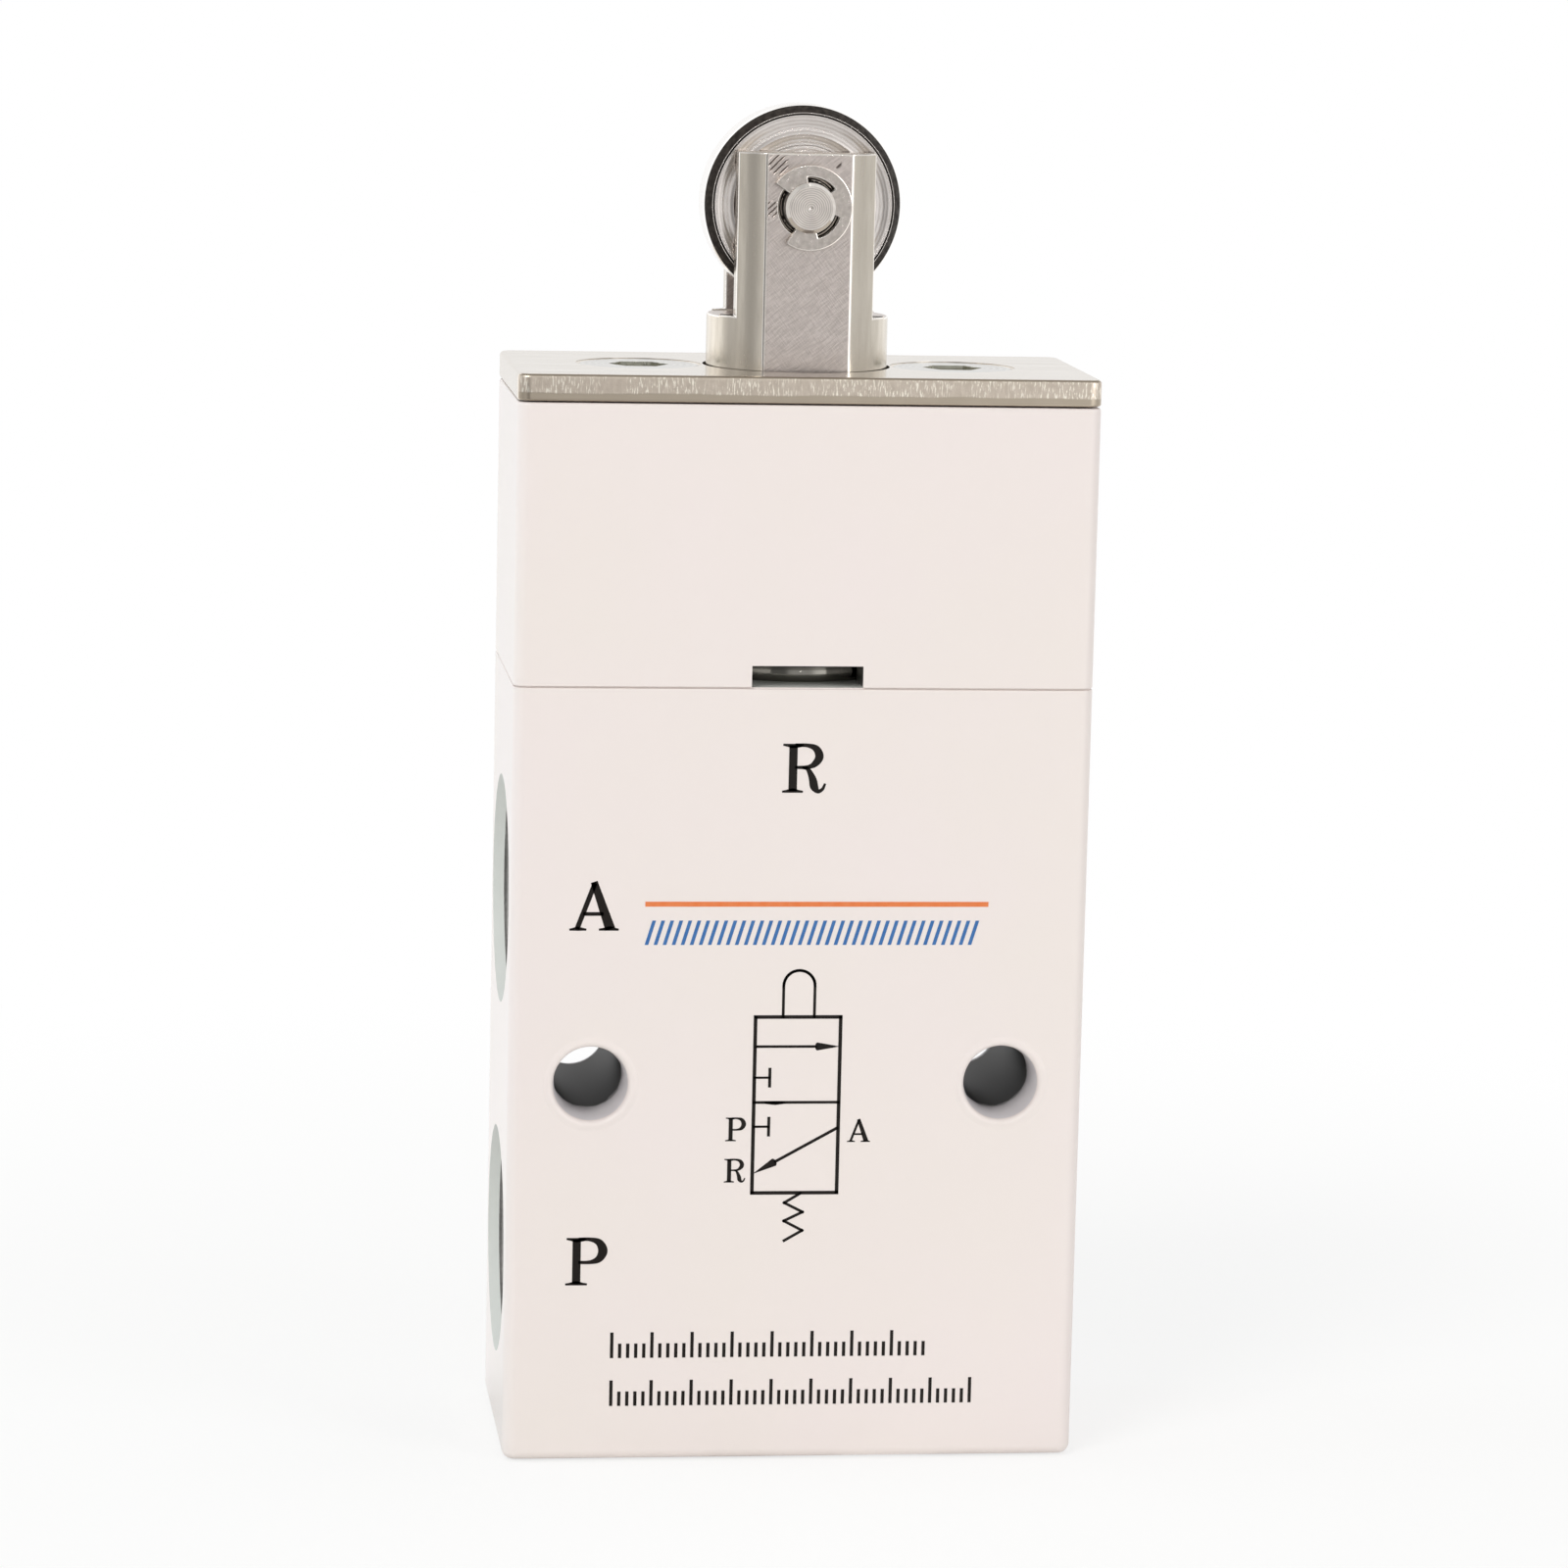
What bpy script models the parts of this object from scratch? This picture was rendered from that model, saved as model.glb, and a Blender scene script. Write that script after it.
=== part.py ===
"""A 3/2 way roller plunger valve, normally closed.

A painted block holds a spring loaded poppet between the supply port P and the
outlet port A. A hollow stem under the roller fork pushes the poppet off its seat.
At rest the outlet empties through the stem into the upper housing, and out of the
notch in its front.

Metres, +Z up. The origin is the centre of the block's bottom face. The printed
front looks along -Y and both ports look along -X.
"""

from math import cos, pi, radians, sin, sqrt, tan

import bmesh
import bpy
from mathutils import Vector

# Outer block
WIDTH = 0.0350
DEPTH = 0.0170
BODY_HEIGHT = 0.0475
HOUSING_HEIGHT = 0.0169
PLATE_THICKNESS = 0.0016
SIDE_ROUND = 0.0008
BOTTOM_ROUND = 0.0006
EDGE_BREAK = 0.00015

# Clearances
JOINT_GAP = 0.0001
RUNNING_FIT = 0.00006
SEAT_GAP = 0.0001
SEAL_GAP = 0.00005
OVERRUN = 0.001

# Side ports, a G1/4 thread each, and the mounting holes
PORT_RADIUS = 0.00658
PORT_CHAMFER = 0.00042
PORT_DEPTH = 0.0080
PORT_A_HEIGHT = 0.0339
PORT_P_HEIGHT = 0.0119
PASSAGE_RADIUS = 0.0030
DRILL_POINT = radians(31)
MOUNT_INSET = 0.0050
MOUNT_HEIGHT = 0.0234
MOUNT_HOLE_RADIUS = 0.00215
MOUNT_CHAMFER = 0.0004

# Exhaust notch
NOTCH_WIDTH = 0.0067
NOTCH_OFFSET = 0.0001
NOTCH_HEIGHT = 0.0014

# Chambers in the body
UPPER_BORE_RADIUS = 0.0055
LOWER_BORE_RADIUS = 0.0060
SEAT_HEIGHT = 0.0220
SEAT_WALL = 0.0030
SEAT_RADIUS = 0.0034
LIP_WIDTH = 0.0006
LIP_HEIGHT = 0.0004

# Plate screws
SCREW_WALL = 0.00098
SCREW_RADIUS = 0.0020
SCREW_HEAD_RADIUS = 0.0037
SCREW_LENGTH = 0.0240
SCREW_SINK = 0.00005
SCREW_CLEARANCE = 0.00012
SCREW_TIP_ROOM = 0.0004
KEY_FLATS = 0.0030
KEY_DEPTH = 0.0013

# Roller fork
STROKE = 0.0030
FORK_RADIUS = 0.0055
FORK_FLATS = 0.0097
FORK_FOOT = 0.00315
EAR_WIDTH = 0.0083
EAR_HEIGHT = 0.0130
SLOT_WIDTH = 0.0044
SLOT_FLOOR = 0.0031
FLANGE_RADIUS = 0.0063
FLANGE_THICKNESS = 0.0040
FORK_HOLE_CLEARANCE = 0.0002
POCKET_CLEARANCE = 0.0002
OVERTRAVEL = 0.0005

# Roller, its bush and pin
ROLLER_RADIUS = 0.0060
ROLLER_WIDTH = 0.0040
ROLLER_CHAMFER = 0.0003
WEB_RADIUS = 0.0052
WEB_STEP = 0.0002
HUB_RADIUS = 0.0029
BUSH_WALL = 0.0007
PIN_RADIUS = 0.0015
PIN_HEIGHT = 0.0098
PIN_CHAMFER = 0.0002
PIN_STUB = 0.00035
CLIP_THICKNESS = 0.0004
CLIP_RADIUS = 0.00255
CLIP_GRIP_RADIUS = 0.00125
CLIP_RELIEF_RADIUS = 0.00185
CLIP_GROOVE_RADIUS = 0.00118
CLIP_MOUTH_DIRECTION = radians(197)

# Hollow stem, its guide bush and return spring
STEM_RADIUS = 0.0030
STEM_BORE_RADIUS = 0.0014
STEM_TIP_RADIUS = 0.0024
STEM_SOCKET = 0.0025
STEM_VENT_RADIUS = 0.0010
STEM_VENT_ABOVE_GUIDE = 0.0045
TIP_GAP = 0.0009
GUIDE_FLANGE_RADIUS = 0.0061
GUIDE_FLANGE_THICKNESS = 0.00095
GUIDE_LENGTH = 0.0090
GUIDE_CLEARANCE = 0.0001
SEAL_GROOVE_DEPTH = 0.0010
HOUSING_BORE_CLEARANCE = 0.0002
STEM_SPRING_RADIUS = 0.0042
STEM_SPRING_WIRE = 0.0004
STEM_SPRING_TURNS = 6

# Poppet, its seal, spring and the plug below it
POPPET_SEAL_RADIUS = 0.0045
POPPET_SEAL_THICKNESS = 0.0020
POPPET_SEAL_PROUD = 0.0003
POPPET_RIM = 0.0007
POPPET_FLOOR = 0.0020
POPPET_SKIRT = 0.0040
POPPET_SKIRT_CLEARANCE = 0.0002
POPPET_FLATS = 0.0100
POPPET_WALL = 0.0006
POPPET_SPRING_RADIUS = 0.0037
POPPET_SPRING_WIRE = 0.0004
POPPET_SPRING_TURNS = 6
PLUG_CLEARANCE = 0.0001
PLUG_THICKNESS = 0.0037
PLUG_SPIGOT_RADIUS = 0.0029
PLUG_SPIGOT_HEIGHT = 0.0018
PLUG_GROOVE_DEPTH = 0.0011
PLUG_DIMPLE_RADIUS = 0.0016
PLUG_DIMPLE_DEPTH = 0.0010
CIRCLIP_THICKNESS = 0.0008
CIRCLIP_LEVEL = 0.0016
CIRCLIP_GRIP = 0.00035
CIRCLIP_WIDTH = 0.0011
CIRCLIP_LUG = 0.0013
CIRCLIP_HOLE_RADIUS = 0.00045
CIRCLIP_GROOVE_SLACK = 0.0001

# Facets
FINE_SIDES = 40
SIDES = 28
SMALL_SIDES = 20

# Levels that follow from the sizes above
SPLIT_Z = BODY_HEIGHT
HOUSING_Z = SPLIT_Z + JOINT_GAP
HOUSING_TOP = HOUSING_Z + HOUSING_HEIGHT
PLATE_Z = HOUSING_TOP + JOINT_GAP
PLATE_TOP = PLATE_Z + PLATE_THICKNESS
PIN_Z = PLATE_TOP + PIN_HEIGHT
EAR_TOP = PLATE_TOP + EAR_HEIGHT
FLANGE_TOP = PLATE_Z - SEAT_GAP
FORK_BOTTOM = FLANGE_TOP - FLANGE_THICKNESS
POCKET_FLOOR = FORK_BOTTOM - STROKE - OVERTRAVEL
GUIDE_TOP = SPLIT_Z + SEAT_GAP + GUIDE_FLANGE_THICKNESS
GUIDE_BOTTOM = SPLIT_Z - GUIDE_LENGTH
STEM_TOP = FORK_BOTTOM + STEM_SOCKET
LIP_Z = SEAT_HEIGHT - LIP_HEIGHT
SEAL_TOP = LIP_Z - SEAT_GAP
SEAL_BOTTOM = SEAL_TOP - POPPET_SEAL_THICKNESS
POPPET_TOP = SEAL_TOP - POPPET_SEAL_PROUD
SEAL_FLOOR = SEAL_BOTTOM - SEAT_GAP
POPPET_POCKET_TOP = SEAL_FLOOR - POPPET_FLOOR
POPPET_BOTTOM = POPPET_POCKET_TOP - POPPET_SKIRT
STEM_TIP = SEAL_TOP + TIP_GAP
CIRCLIP_TOP = CIRCLIP_LEVEL + CIRCLIP_THICKNESS
PLUG_BOTTOM = CIRCLIP_TOP + SEAT_GAP
PLUG_TOP = PLUG_BOTTOM + PLUG_THICKNESS

# Radii and distances from the middle that follow from them
MOUNT_X = WIDTH / 2 - MOUNT_INSET
POCKET_RADIUS = FLANGE_RADIUS + POCKET_CLEARANCE
SCREW_X = POCKET_RADIUS + SCREW_WALL + SCREW_RADIUS + SCREW_CLEARANCE
HOUSING_BORE_RADIUS = GUIDE_FLANGE_RADIUS + HOUSING_BORE_CLEARANCE
GUIDE_RADIUS = UPPER_BORE_RADIUS - GUIDE_CLEARANCE
STEM_HOLE_RADIUS = STEM_RADIUS + RUNNING_FIT
PIN_HOLE_RADIUS = PIN_RADIUS + RUNNING_FIT
ROLLER_BUSH_RADIUS = PIN_HOLE_RADIUS + BUSH_WALL
CIRCLIP_RADIUS = LOWER_BORE_RADIUS + CIRCLIP_GRIP
CIRCLIP_GROOVE_RADIUS = CIRCLIP_RADIUS + CIRCLIP_GROOVE_SLACK

# Turns that point a piece's own +Z along an axis of the valve
UPRIGHT = (0.0, 0.0, 0.0)
TO_LEFT = (0.0, -pi / 2, 0.0)
TO_FRONT = (pi / 2, 0.0, 0.0)


def clear_scene():
    for obj in list(bpy.data.objects):
        bpy.data.objects.remove(obj, do_unlink=True)


def new_collection(name):
    group = bpy.data.collections.new(name)
    bpy.context.scene.collection.children.link(group)
    return group


def finish(name, colour, roughness, metallic):
    """A plain surface finish. The colour is linear red, green and blue."""
    made = bpy.data.materials.new(name)
    made.use_nodes = True
    shader = made.node_tree.nodes["Principled BSDF"]
    shader.inputs["Base Color"].default_value = (*colour, 1.0)
    shader.inputs["Roughness"].default_value = roughness
    shader.inputs["Metallic"].default_value = metallic
    made.diffuse_color = (*colour, 1.0)
    return made


def add_object(name, mesh, at=(0.0, 0.0, 0.0), turn=UPRIGHT):
    obj = bpy.data.objects.new(name, mesh)
    obj.location = at
    obj.rotation_euler = turn
    PARTS.objects.link(obj)
    return obj


def as_mesh(obj, name):
    """Makes a curve, or an object with modifiers, a plain mesh object in the same place."""
    at, turn = obj.location.copy(), obj.rotation_euler.copy()
    bpy.context.view_layer.update()
    mesh = bpy.data.meshes.new_from_object(obj.evaluated_get(bpy.context.evaluated_depsgraph_get()))
    bpy.data.objects.remove(obj, do_unlink=True)
    bm = bmesh.new()
    bm.from_mesh(mesh)
    bmesh.ops.remove_doubles(bm, verts=bm.verts, dist=1e-7)
    bm.to_mesh(mesh)
    bm.free()
    mesh.shade_smooth()
    mesh.set_sharp_from_angle(angle=radians(35))
    made = add_object(name, mesh, at, turn)
    mesh.name = name
    return made


def turned(name, profile, sides=SIDES, at=(0.0, 0.0, 0.0), turn=UPRIGHT, ring=False):
    """A turned solid. The profile holds (radius, height) pairs and runs down its outer side."""
    mesh = bpy.data.meshes.new(name)
    count = len(profile)
    edges = [(i, (i + 1) % count) for i in range(count if ring else count - 1)]
    mesh.from_pydata([(radius, 0.0, height) for radius, height in profile], edges, [])
    obj = add_object(name + "_profile", mesh, at, turn)
    screw = obj.modifiers.new("turn", "SCREW")
    screw.axis = "Z"
    screw.angle = 2 * pi
    screw.steps = screw.render_steps = sides
    screw.use_merge_vertices = True
    screw.merge_threshold = 1e-7
    return as_mesh(obj, name)


def rod(name, radius, low, high, sides=SIDES, at=(0.0, 0.0, 0.0), turn=UPRIGHT):
    return turned(name, [(0, high), (radius, high), (radius, low), (0, low)], sides, at, turn)


def block(name, low, high):
    """A plain box between two opposite corners."""
    low, high = Vector(low), Vector(high)
    bm = bmesh.new()
    bmesh.ops.create_cube(bm, size=1.0)
    bmesh.ops.scale(bm, vec=high - low, verts=bm.verts)
    bmesh.ops.translate(bm, vec=(high + low) / 2, verts=bm.verts)
    mesh = bpy.data.meshes.new(name)
    bm.to_mesh(mesh)
    bm.free()
    return add_object(name, mesh)


def bevel_level(bm, level, width, segments):
    """Rounds the edges that lie at one height."""
    edges = [e for e in bm.edges if all(abs(v.co.z - level) < 1e-6 for v in e.verts)]
    bmesh.ops.bevel(bm, geom=edges, offset=width, segments=segments, profile=0.5, affect="EDGES")


def rounded_block(name, bottom, top, bottom_round, top_round):
    """A box of the valve's width and depth, with its upright, bottom and top edges rounded."""
    obj = block(name, (-WIDTH / 2, -DEPTH / 2, bottom), (WIDTH / 2, DEPTH / 2, top))
    bm = bmesh.new()
    bm.from_mesh(obj.data)
    upright = [e for e in bm.edges if abs(e.verts[0].co.z - e.verts[1].co.z) > (top - bottom) / 2]
    bmesh.ops.bevel(bm, geom=upright, offset=SIDE_ROUND, segments=3, profile=0.5, affect="EDGES")
    bevel_level(bm, bottom, bottom_round, 2)
    bevel_level(bm, top, top_round, 1)
    bm.to_mesh(obj.data)
    bm.free()
    return obj


def cut(target, *cutters):
    """Takes the cutters' shapes out of the target and puts the cutters away."""
    for cutter in cutters:
        boolean = target.modifiers.new("cut_" + cutter.name, "BOOLEAN")
        boolean.operation = "DIFFERENCE"
        boolean.solver = "EXACT"
        boolean.object = cutter
        if cutter.name in PARTS.objects:
            PARTS.objects.unlink(cutter)
            CUTTERS.objects.link(cutter)
            cutter.hide_render = True
            cutter.display_type = "WIRE"


def flat_cutters(name, across, reach, low, high, axis):
    """Two boxes that leave a width across flats, along X (axis 0) or Y (axis 1)."""
    boxes = []
    for side in (-1, 1):
        near, far = sorted((side * across / 2, side * (reach + OVERRUN)))
        corners = [[-reach - OVERRUN, -reach - OVERRUN, low], [reach + OVERRUN, reach + OVERRUN, high]]
        corners[0][axis], corners[1][axis] = near, far
        boxes.append(block(f"{name}_{axis}_{side}", *corners))
    return boxes


def arc(radius, start, end, steps):
    """Points from one angle to another, both ends included."""
    angles = [start + (end - start) * i / steps for i in range(steps + 1)]
    return [(radius * cos(a), radius * sin(a)) for a in angles]


def split_ring(name, outer, zones, direction, thickness, at=(0.0, 0.0, 0.0), turn=UPRIGHT):
    """A flat ring with a mouth. The zones give the inner radius over angles counted from the mouth."""
    mouth = zones[0][0]
    points = arc(outer, direction + mouth, direction + 2 * pi - mouth, SMALL_SIDES)
    for start, end, radius in reversed(zones):
        steps = max(2, round(SMALL_SIDES * (end - start) / (2 * pi)))
        points += arc(radius, direction + end, direction + start, steps)
    curve = bpy.data.curves.new(name, "CURVE")
    curve.dimensions = "2D"
    curve.fill_mode = "BOTH"
    curve.extrude = thickness / 2
    spline = curve.splines.new("POLY")
    spline.points.add(len(points) - 1)
    for point, (x, y) in zip(spline.points, points):
        point.co = (x, y, 0.0, 1.0)
    spline.use_cyclic_u = True
    return as_mesh(add_object(name + "_outline", curve, at, turn), name)


def coil(name, radius, wire, low, high, turns):
    """A compression spring between two seats, with one closed turn at each end."""
    steps = 8
    low, high = low + wire, high - wire
    closed = 2.1 * wire
    pitch = (high - low - 2 * closed) / (turns - 2)
    curve = bpy.data.curves.new(name, "CURVE")
    curve.dimensions = "3D"
    curve.bevel_depth = wire
    curve.bevel_resolution = 2
    curve.use_fill_caps = True
    spline = curve.splines.new("POLY")
    spline.points.add(turns * steps)
    for i, point in enumerate(spline.points):
        turn = i / steps
        open_turns = min(max(turn - 1, 0), turns - 2)
        height = low + closed * (turn - open_turns) + pitch * open_turns
        angle = 2 * pi * turn
        point.co = (radius * cos(angle), radius * sin(angle), height, 1.0)
    obj = as_mesh(add_object(name + "_wire", curve), name)
    obj.data.materials.append(SPRING)


def o_ring(name, inner, outer, height):
    """A seal ring that fills the room between two walls, less a small gap at each."""
    section = (outer - inner) / 2 - SEAL_GAP
    middle = (outer + inner) / 2
    angles = [pi / 2 - 2 * pi * i / 6 for i in range(6)]
    profile = [(middle + section * cos(a), height + section * sin(a)) for a in angles]
    obj = turned(name, profile, SIDES, ring=True)
    obj.data.materials.append(RUBBER)


def port_cutter(name, height, chamber_radius):
    """A threaded socket in the left face, and the passage from its drilled floor to the chamber."""
    floor = -PORT_DEPTH
    cone = (PORT_RADIUS - PASSAGE_RADIUS) * tan(DRILL_POINT)
    end = -(WIDTH / 2 - sqrt(chamber_radius**2 - PASSAGE_RADIUS**2) + OVERRUN)
    mouth = PORT_RADIUS + PORT_CHAMFER
    profile = [(0, OVERRUN), (mouth + OVERRUN, OVERRUN), (PORT_RADIUS, -PORT_CHAMFER), (PORT_RADIUS, floor)]
    profile += [(PASSAGE_RADIUS, floor - cone), (PASSAGE_RADIUS, end), (0, end)]
    return turned(name, profile, SIDES, (-WIDTH / 2, 0, height), TO_LEFT)


def mount_cutter(name, x):
    """A through hole from front to back, chamfered at both ends."""
    mouth = MOUNT_HOLE_RADIUS + MOUNT_CHAMFER + OVERRUN
    inside, outside = DEPTH / 2 - MOUNT_CHAMFER, DEPTH / 2 + OVERRUN
    profile = [(0, outside), (mouth, outside), (MOUNT_HOLE_RADIUS, inside)]
    profile += [(MOUNT_HOLE_RADIUS, -inside), (mouth, -outside), (0, -outside)]
    return turned(name, profile, SMALL_SIDES, (x, 0, MOUNT_HEIGHT), TO_FRONT)


def chamber_cutter():
    """Everything turned on the valve's axis: the upper bore, seat, lower bore and circlip groove."""
    groove_low, groove_high = CIRCLIP_LEVEL - SEAT_GAP, CIRCLIP_TOP + SEAT_GAP / 2
    profile = [(0, SPLIT_Z + OVERRUN), (UPPER_BORE_RADIUS, SPLIT_Z + OVERRUN)]
    profile += [(UPPER_BORE_RADIUS, SEAT_HEIGHT + SEAT_WALL), (SEAT_RADIUS, SEAT_HEIGHT + SEAT_WALL)]
    profile += [(SEAT_RADIUS, LIP_Z), (SEAT_RADIUS + LIP_WIDTH, LIP_Z)]
    profile += [(SEAT_RADIUS + LIP_WIDTH, SEAT_HEIGHT), (LOWER_BORE_RADIUS, SEAT_HEIGHT)]
    profile += [(LOWER_BORE_RADIUS, groove_high), (CIRCLIP_GROOVE_RADIUS, groove_high)]
    profile += [(CIRCLIP_GROOVE_RADIUS, groove_low), (LOWER_BORE_RADIUS, groove_low)]
    profile += [(LOWER_BORE_RADIUS, -OVERRUN), (0, -OVERRUN)]
    return turned("chamber_cutter", profile, SIDES)


def screw_profile(clearance, top, tip):
    """A countersunk screw's outline from its head down, grown by a clearance."""
    head, shank = SCREW_HEAD_RADIUS + clearance, SCREW_RADIUS + clearance
    face = PLATE_TOP - SCREW_SINK
    return [(0, top), (head, top), (head, face), (shank, face - (head - shank)), (shank, tip), (0, tip)]


def screw_space(name, x):
    """The hole that one plate screw takes through the plate and the housing into the body."""
    tip = PLATE_TOP - SCREW_SINK - SCREW_LENGTH - SCREW_TIP_ROOM
    return turned(name, screw_profile(SCREW_CLEARANCE, PLATE_TOP + OVERRUN, tip), SMALL_SIDES, (x, 0, 0))


def valve_body(screw_spaces):
    obj = rounded_block("valve_body", 0, SPLIT_Z, BOTTOM_ROUND, EDGE_BREAK)
    cut(obj, chamber_cutter())
    cut(obj, port_cutter("port_a_cutter", PORT_A_HEIGHT, UPPER_BORE_RADIUS))
    cut(obj, port_cutter("port_p_cutter", PORT_P_HEIGHT, LOWER_BORE_RADIUS))
    for name, side in (("left", -1), ("right", 1)):
        cut(obj, mount_cutter("mount_hole_" + name, side * MOUNT_X))
    cut(obj, *screw_spaces)
    obj.data.materials.append(PAINT)


def upper_housing(screw_spaces):
    """The cover that guides the fork in a pocket with two flats, and opens to the notch below."""
    obj = rounded_block("upper_housing", HOUSING_Z, HOUSING_TOP, EDGE_BREAK, EDGE_BREAK)
    pocket = rod("pocket_cutter", POCKET_RADIUS, POCKET_FLOOR, HOUSING_TOP + OVERRUN, FINE_SIDES)
    across = FORK_FLATS + 2 * POCKET_CLEARANCE
    low, high = POCKET_FLOOR - OVERRUN, HOUSING_TOP + 2 * OVERRUN
    cut(pocket, *flat_cutters("pocket_flat", across, POCKET_RADIUS, low, high, 1))
    bore_top = POCKET_FLOOR + OVERRUN / 2
    bore = rod("housing_bore_cutter", HOUSING_BORE_RADIUS, HOUSING_Z - OVERRUN, bore_top, FINE_SIDES)
    half = NOTCH_WIDTH / 2
    inner = -sqrt(HOUSING_BORE_RADIUS**2 - (half + NOTCH_OFFSET) ** 2) + OVERRUN / 2
    low = (NOTCH_OFFSET - half, -DEPTH / 2 - OVERRUN, HOUSING_Z - OVERRUN)
    notch = block("notch_cutter", low, (NOTCH_OFFSET + half, inner, SPLIT_Z + NOTCH_HEIGHT))
    cut(obj, pocket, bore, notch, *screw_spaces)
    obj.data.materials.append(PAINT)


def top_plate(screw_spaces):
    obj = rounded_block("top_plate", PLATE_Z, PLATE_TOP, EDGE_BREAK, EDGE_BREAK)
    radius = FORK_RADIUS + FORK_HOLE_CLEARANCE
    hole = rod("fork_hole_cutter", radius, PLATE_Z - OVERRUN, PLATE_TOP + OVERRUN, FINE_SIDES)
    cut(obj, hole, *screw_spaces)
    obj.data.materials.append(NICKEL)


def plate_screw(name, x):
    face = PLATE_TOP - SCREW_SINK
    obj = turned(name, screw_profile(0, face, face - SCREW_LENGTH), SMALL_SIDES, (x, 0, 0))
    cut(obj, rod(name + "_key", KEY_FLATS / sqrt(3), face - KEY_DEPTH, face + OVERRUN, 6, (x, 0, 0)))
    obj.data.materials.append(ZINC)


def roller_fork():
    """Round foot, flats at front and back, two ears about the roller and a flange below the plate."""
    profile = [(0, EAR_TOP), (FORK_RADIUS, EAR_TOP), (FORK_RADIUS, FLANGE_TOP), (FLANGE_RADIUS, FLANGE_TOP)]
    profile += [(FLANGE_RADIUS, FORK_BOTTOM), (0, FORK_BOTTOM)]
    obj = turned("roller_fork", profile, FINE_SIDES)
    over = EAR_TOP + OVERRUN
    cut(obj, *flat_cutters("fork_flat", FORK_FLATS, FLANGE_RADIUS, FORK_BOTTOM - OVERRUN, over, 1))
    cut(obj, *flat_cutters("ear_side", EAR_WIDTH, FORK_RADIUS, PLATE_TOP + FORK_FOOT, over, 0))
    reach = FORK_RADIUS + OVERRUN
    low = (-reach, -SLOT_WIDTH / 2, PLATE_TOP + SLOT_FLOOR)
    cut(obj, block("fork_slot_cutter", low, (reach, SLOT_WIDTH / 2, over)))
    cut(obj, rod("pin_hole_cutter", PIN_HOLE_RADIUS, -reach, reach, SMALL_SIDES, (0, 0, PIN_Z), TO_FRONT))
    low, high = FORK_BOTTOM - OVERRUN, STEM_TOP + SEAT_GAP
    cut(obj, rod("stem_socket_cutter", STEM_HOLE_RADIUS, low, high, SMALL_SIDES))
    obj.data.materials.append(NICKEL)
    return obj


def roller():
    half, web = ROLLER_WIDTH / 2, ROLLER_WIDTH / 2 - WEB_STEP
    side = [(ROLLER_BUSH_RADIUS + RUNNING_FIT, half), (HUB_RADIUS, half), (HUB_RADIUS, web)]
    side += [(WEB_RADIUS, web), (WEB_RADIUS, half), (ROLLER_RADIUS - ROLLER_CHAMFER, half)]
    side += [(ROLLER_RADIUS, half - ROLLER_CHAMFER)]
    profile = side + [(radius, -height) for radius, height in reversed(side)]
    obj = turned("roller", profile, FINE_SIDES, (0, 0, PIN_Z), TO_FRONT, ring=True)
    obj.data.materials.append(STEEL)
    return obj


def roller_bush():
    half, outer = ROLLER_WIDTH / 2, ROLLER_BUSH_RADIUS
    profile = [(outer, half), (outer, -half), (PIN_HOLE_RADIUS, -half), (PIN_HOLE_RADIUS, half)]
    obj = turned("roller_bush", profile, SMALL_SIDES, (0, 0, PIN_Z), TO_FRONT, ring=True)
    obj.data.materials.append(BRONZE)
    return obj


def clip_middle():
    """How far a clip's middle lies from the fork's centre."""
    return FORK_FLATS / 2 + SEAT_GAP + CLIP_THICKNESS / 2


def roller_pin():
    slot = CLIP_THICKNESS / 2 + SEAT_GAP / 2
    far, near = clip_middle() + slot, clip_middle() - slot
    end = far + PIN_STUB
    side = [(0, end), (PIN_RADIUS - PIN_CHAMFER, end), (PIN_RADIUS, end - PIN_CHAMFER)]
    side += [(PIN_RADIUS, far), (CLIP_GROOVE_RADIUS, far), (CLIP_GROOVE_RADIUS, near), (PIN_RADIUS, near)]
    profile = side + [(radius, -height) for radius, height in reversed(side)]
    obj = turned("roller_pin", profile, SMALL_SIDES, (0, 0, PIN_Z), TO_FRONT)
    obj.data.materials.append(STEEL)
    return obj


def pin_clip(name, y):
    """An E clip: three fingers grip the pin's groove, with a relief on each side of the middle one."""
    grip, relief = CLIP_GRIP_RADIUS, CLIP_RELIEF_RADIUS
    marks = [radians(a) for a in (40, 88, 152, 208, 272, 320)]
    zones = list(zip(marks[:-1], marks[1:], (grip, relief, grip, relief, grip)))
    at = (0, y, PIN_Z)
    obj = split_ring(name, CLIP_RADIUS, zones, CLIP_MOUTH_DIRECTION, CLIP_THICKNESS, at, TO_FRONT)
    obj.data.materials.append(CLIP_STEEL)
    return obj


def plunger_stem():
    """A hollow rod from the fork's socket to just above the poppet, with a vent hole across it."""
    shoulder = GUIDE_BOTTOM - OVERRUN
    blind = GUIDE_TOP + STEM_VENT_ABOVE_GUIDE + STEM_VENT_RADIUS + OVERRUN
    profile = [(0, STEM_TOP), (STEM_RADIUS, STEM_TOP), (STEM_RADIUS, shoulder)]
    profile += [(STEM_TIP_RADIUS, shoulder - (STEM_RADIUS - STEM_TIP_RADIUS)), (STEM_TIP_RADIUS, STEM_TIP)]
    profile += [(STEM_BORE_RADIUS, STEM_TIP), (STEM_BORE_RADIUS, blind), (0, blind)]
    obj = turned("plunger_stem", profile, SMALL_SIDES)
    reach = STEM_RADIUS + OVERRUN
    vent_z = GUIDE_TOP + STEM_VENT_ABOVE_GUIDE
    cut(obj, rod("stem_vent_cutter", STEM_VENT_RADIUS, -reach, reach, 12, (0, 0, vent_z), TO_FRONT))
    obj.data.materials.append(STEEL)
    return obj


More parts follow.
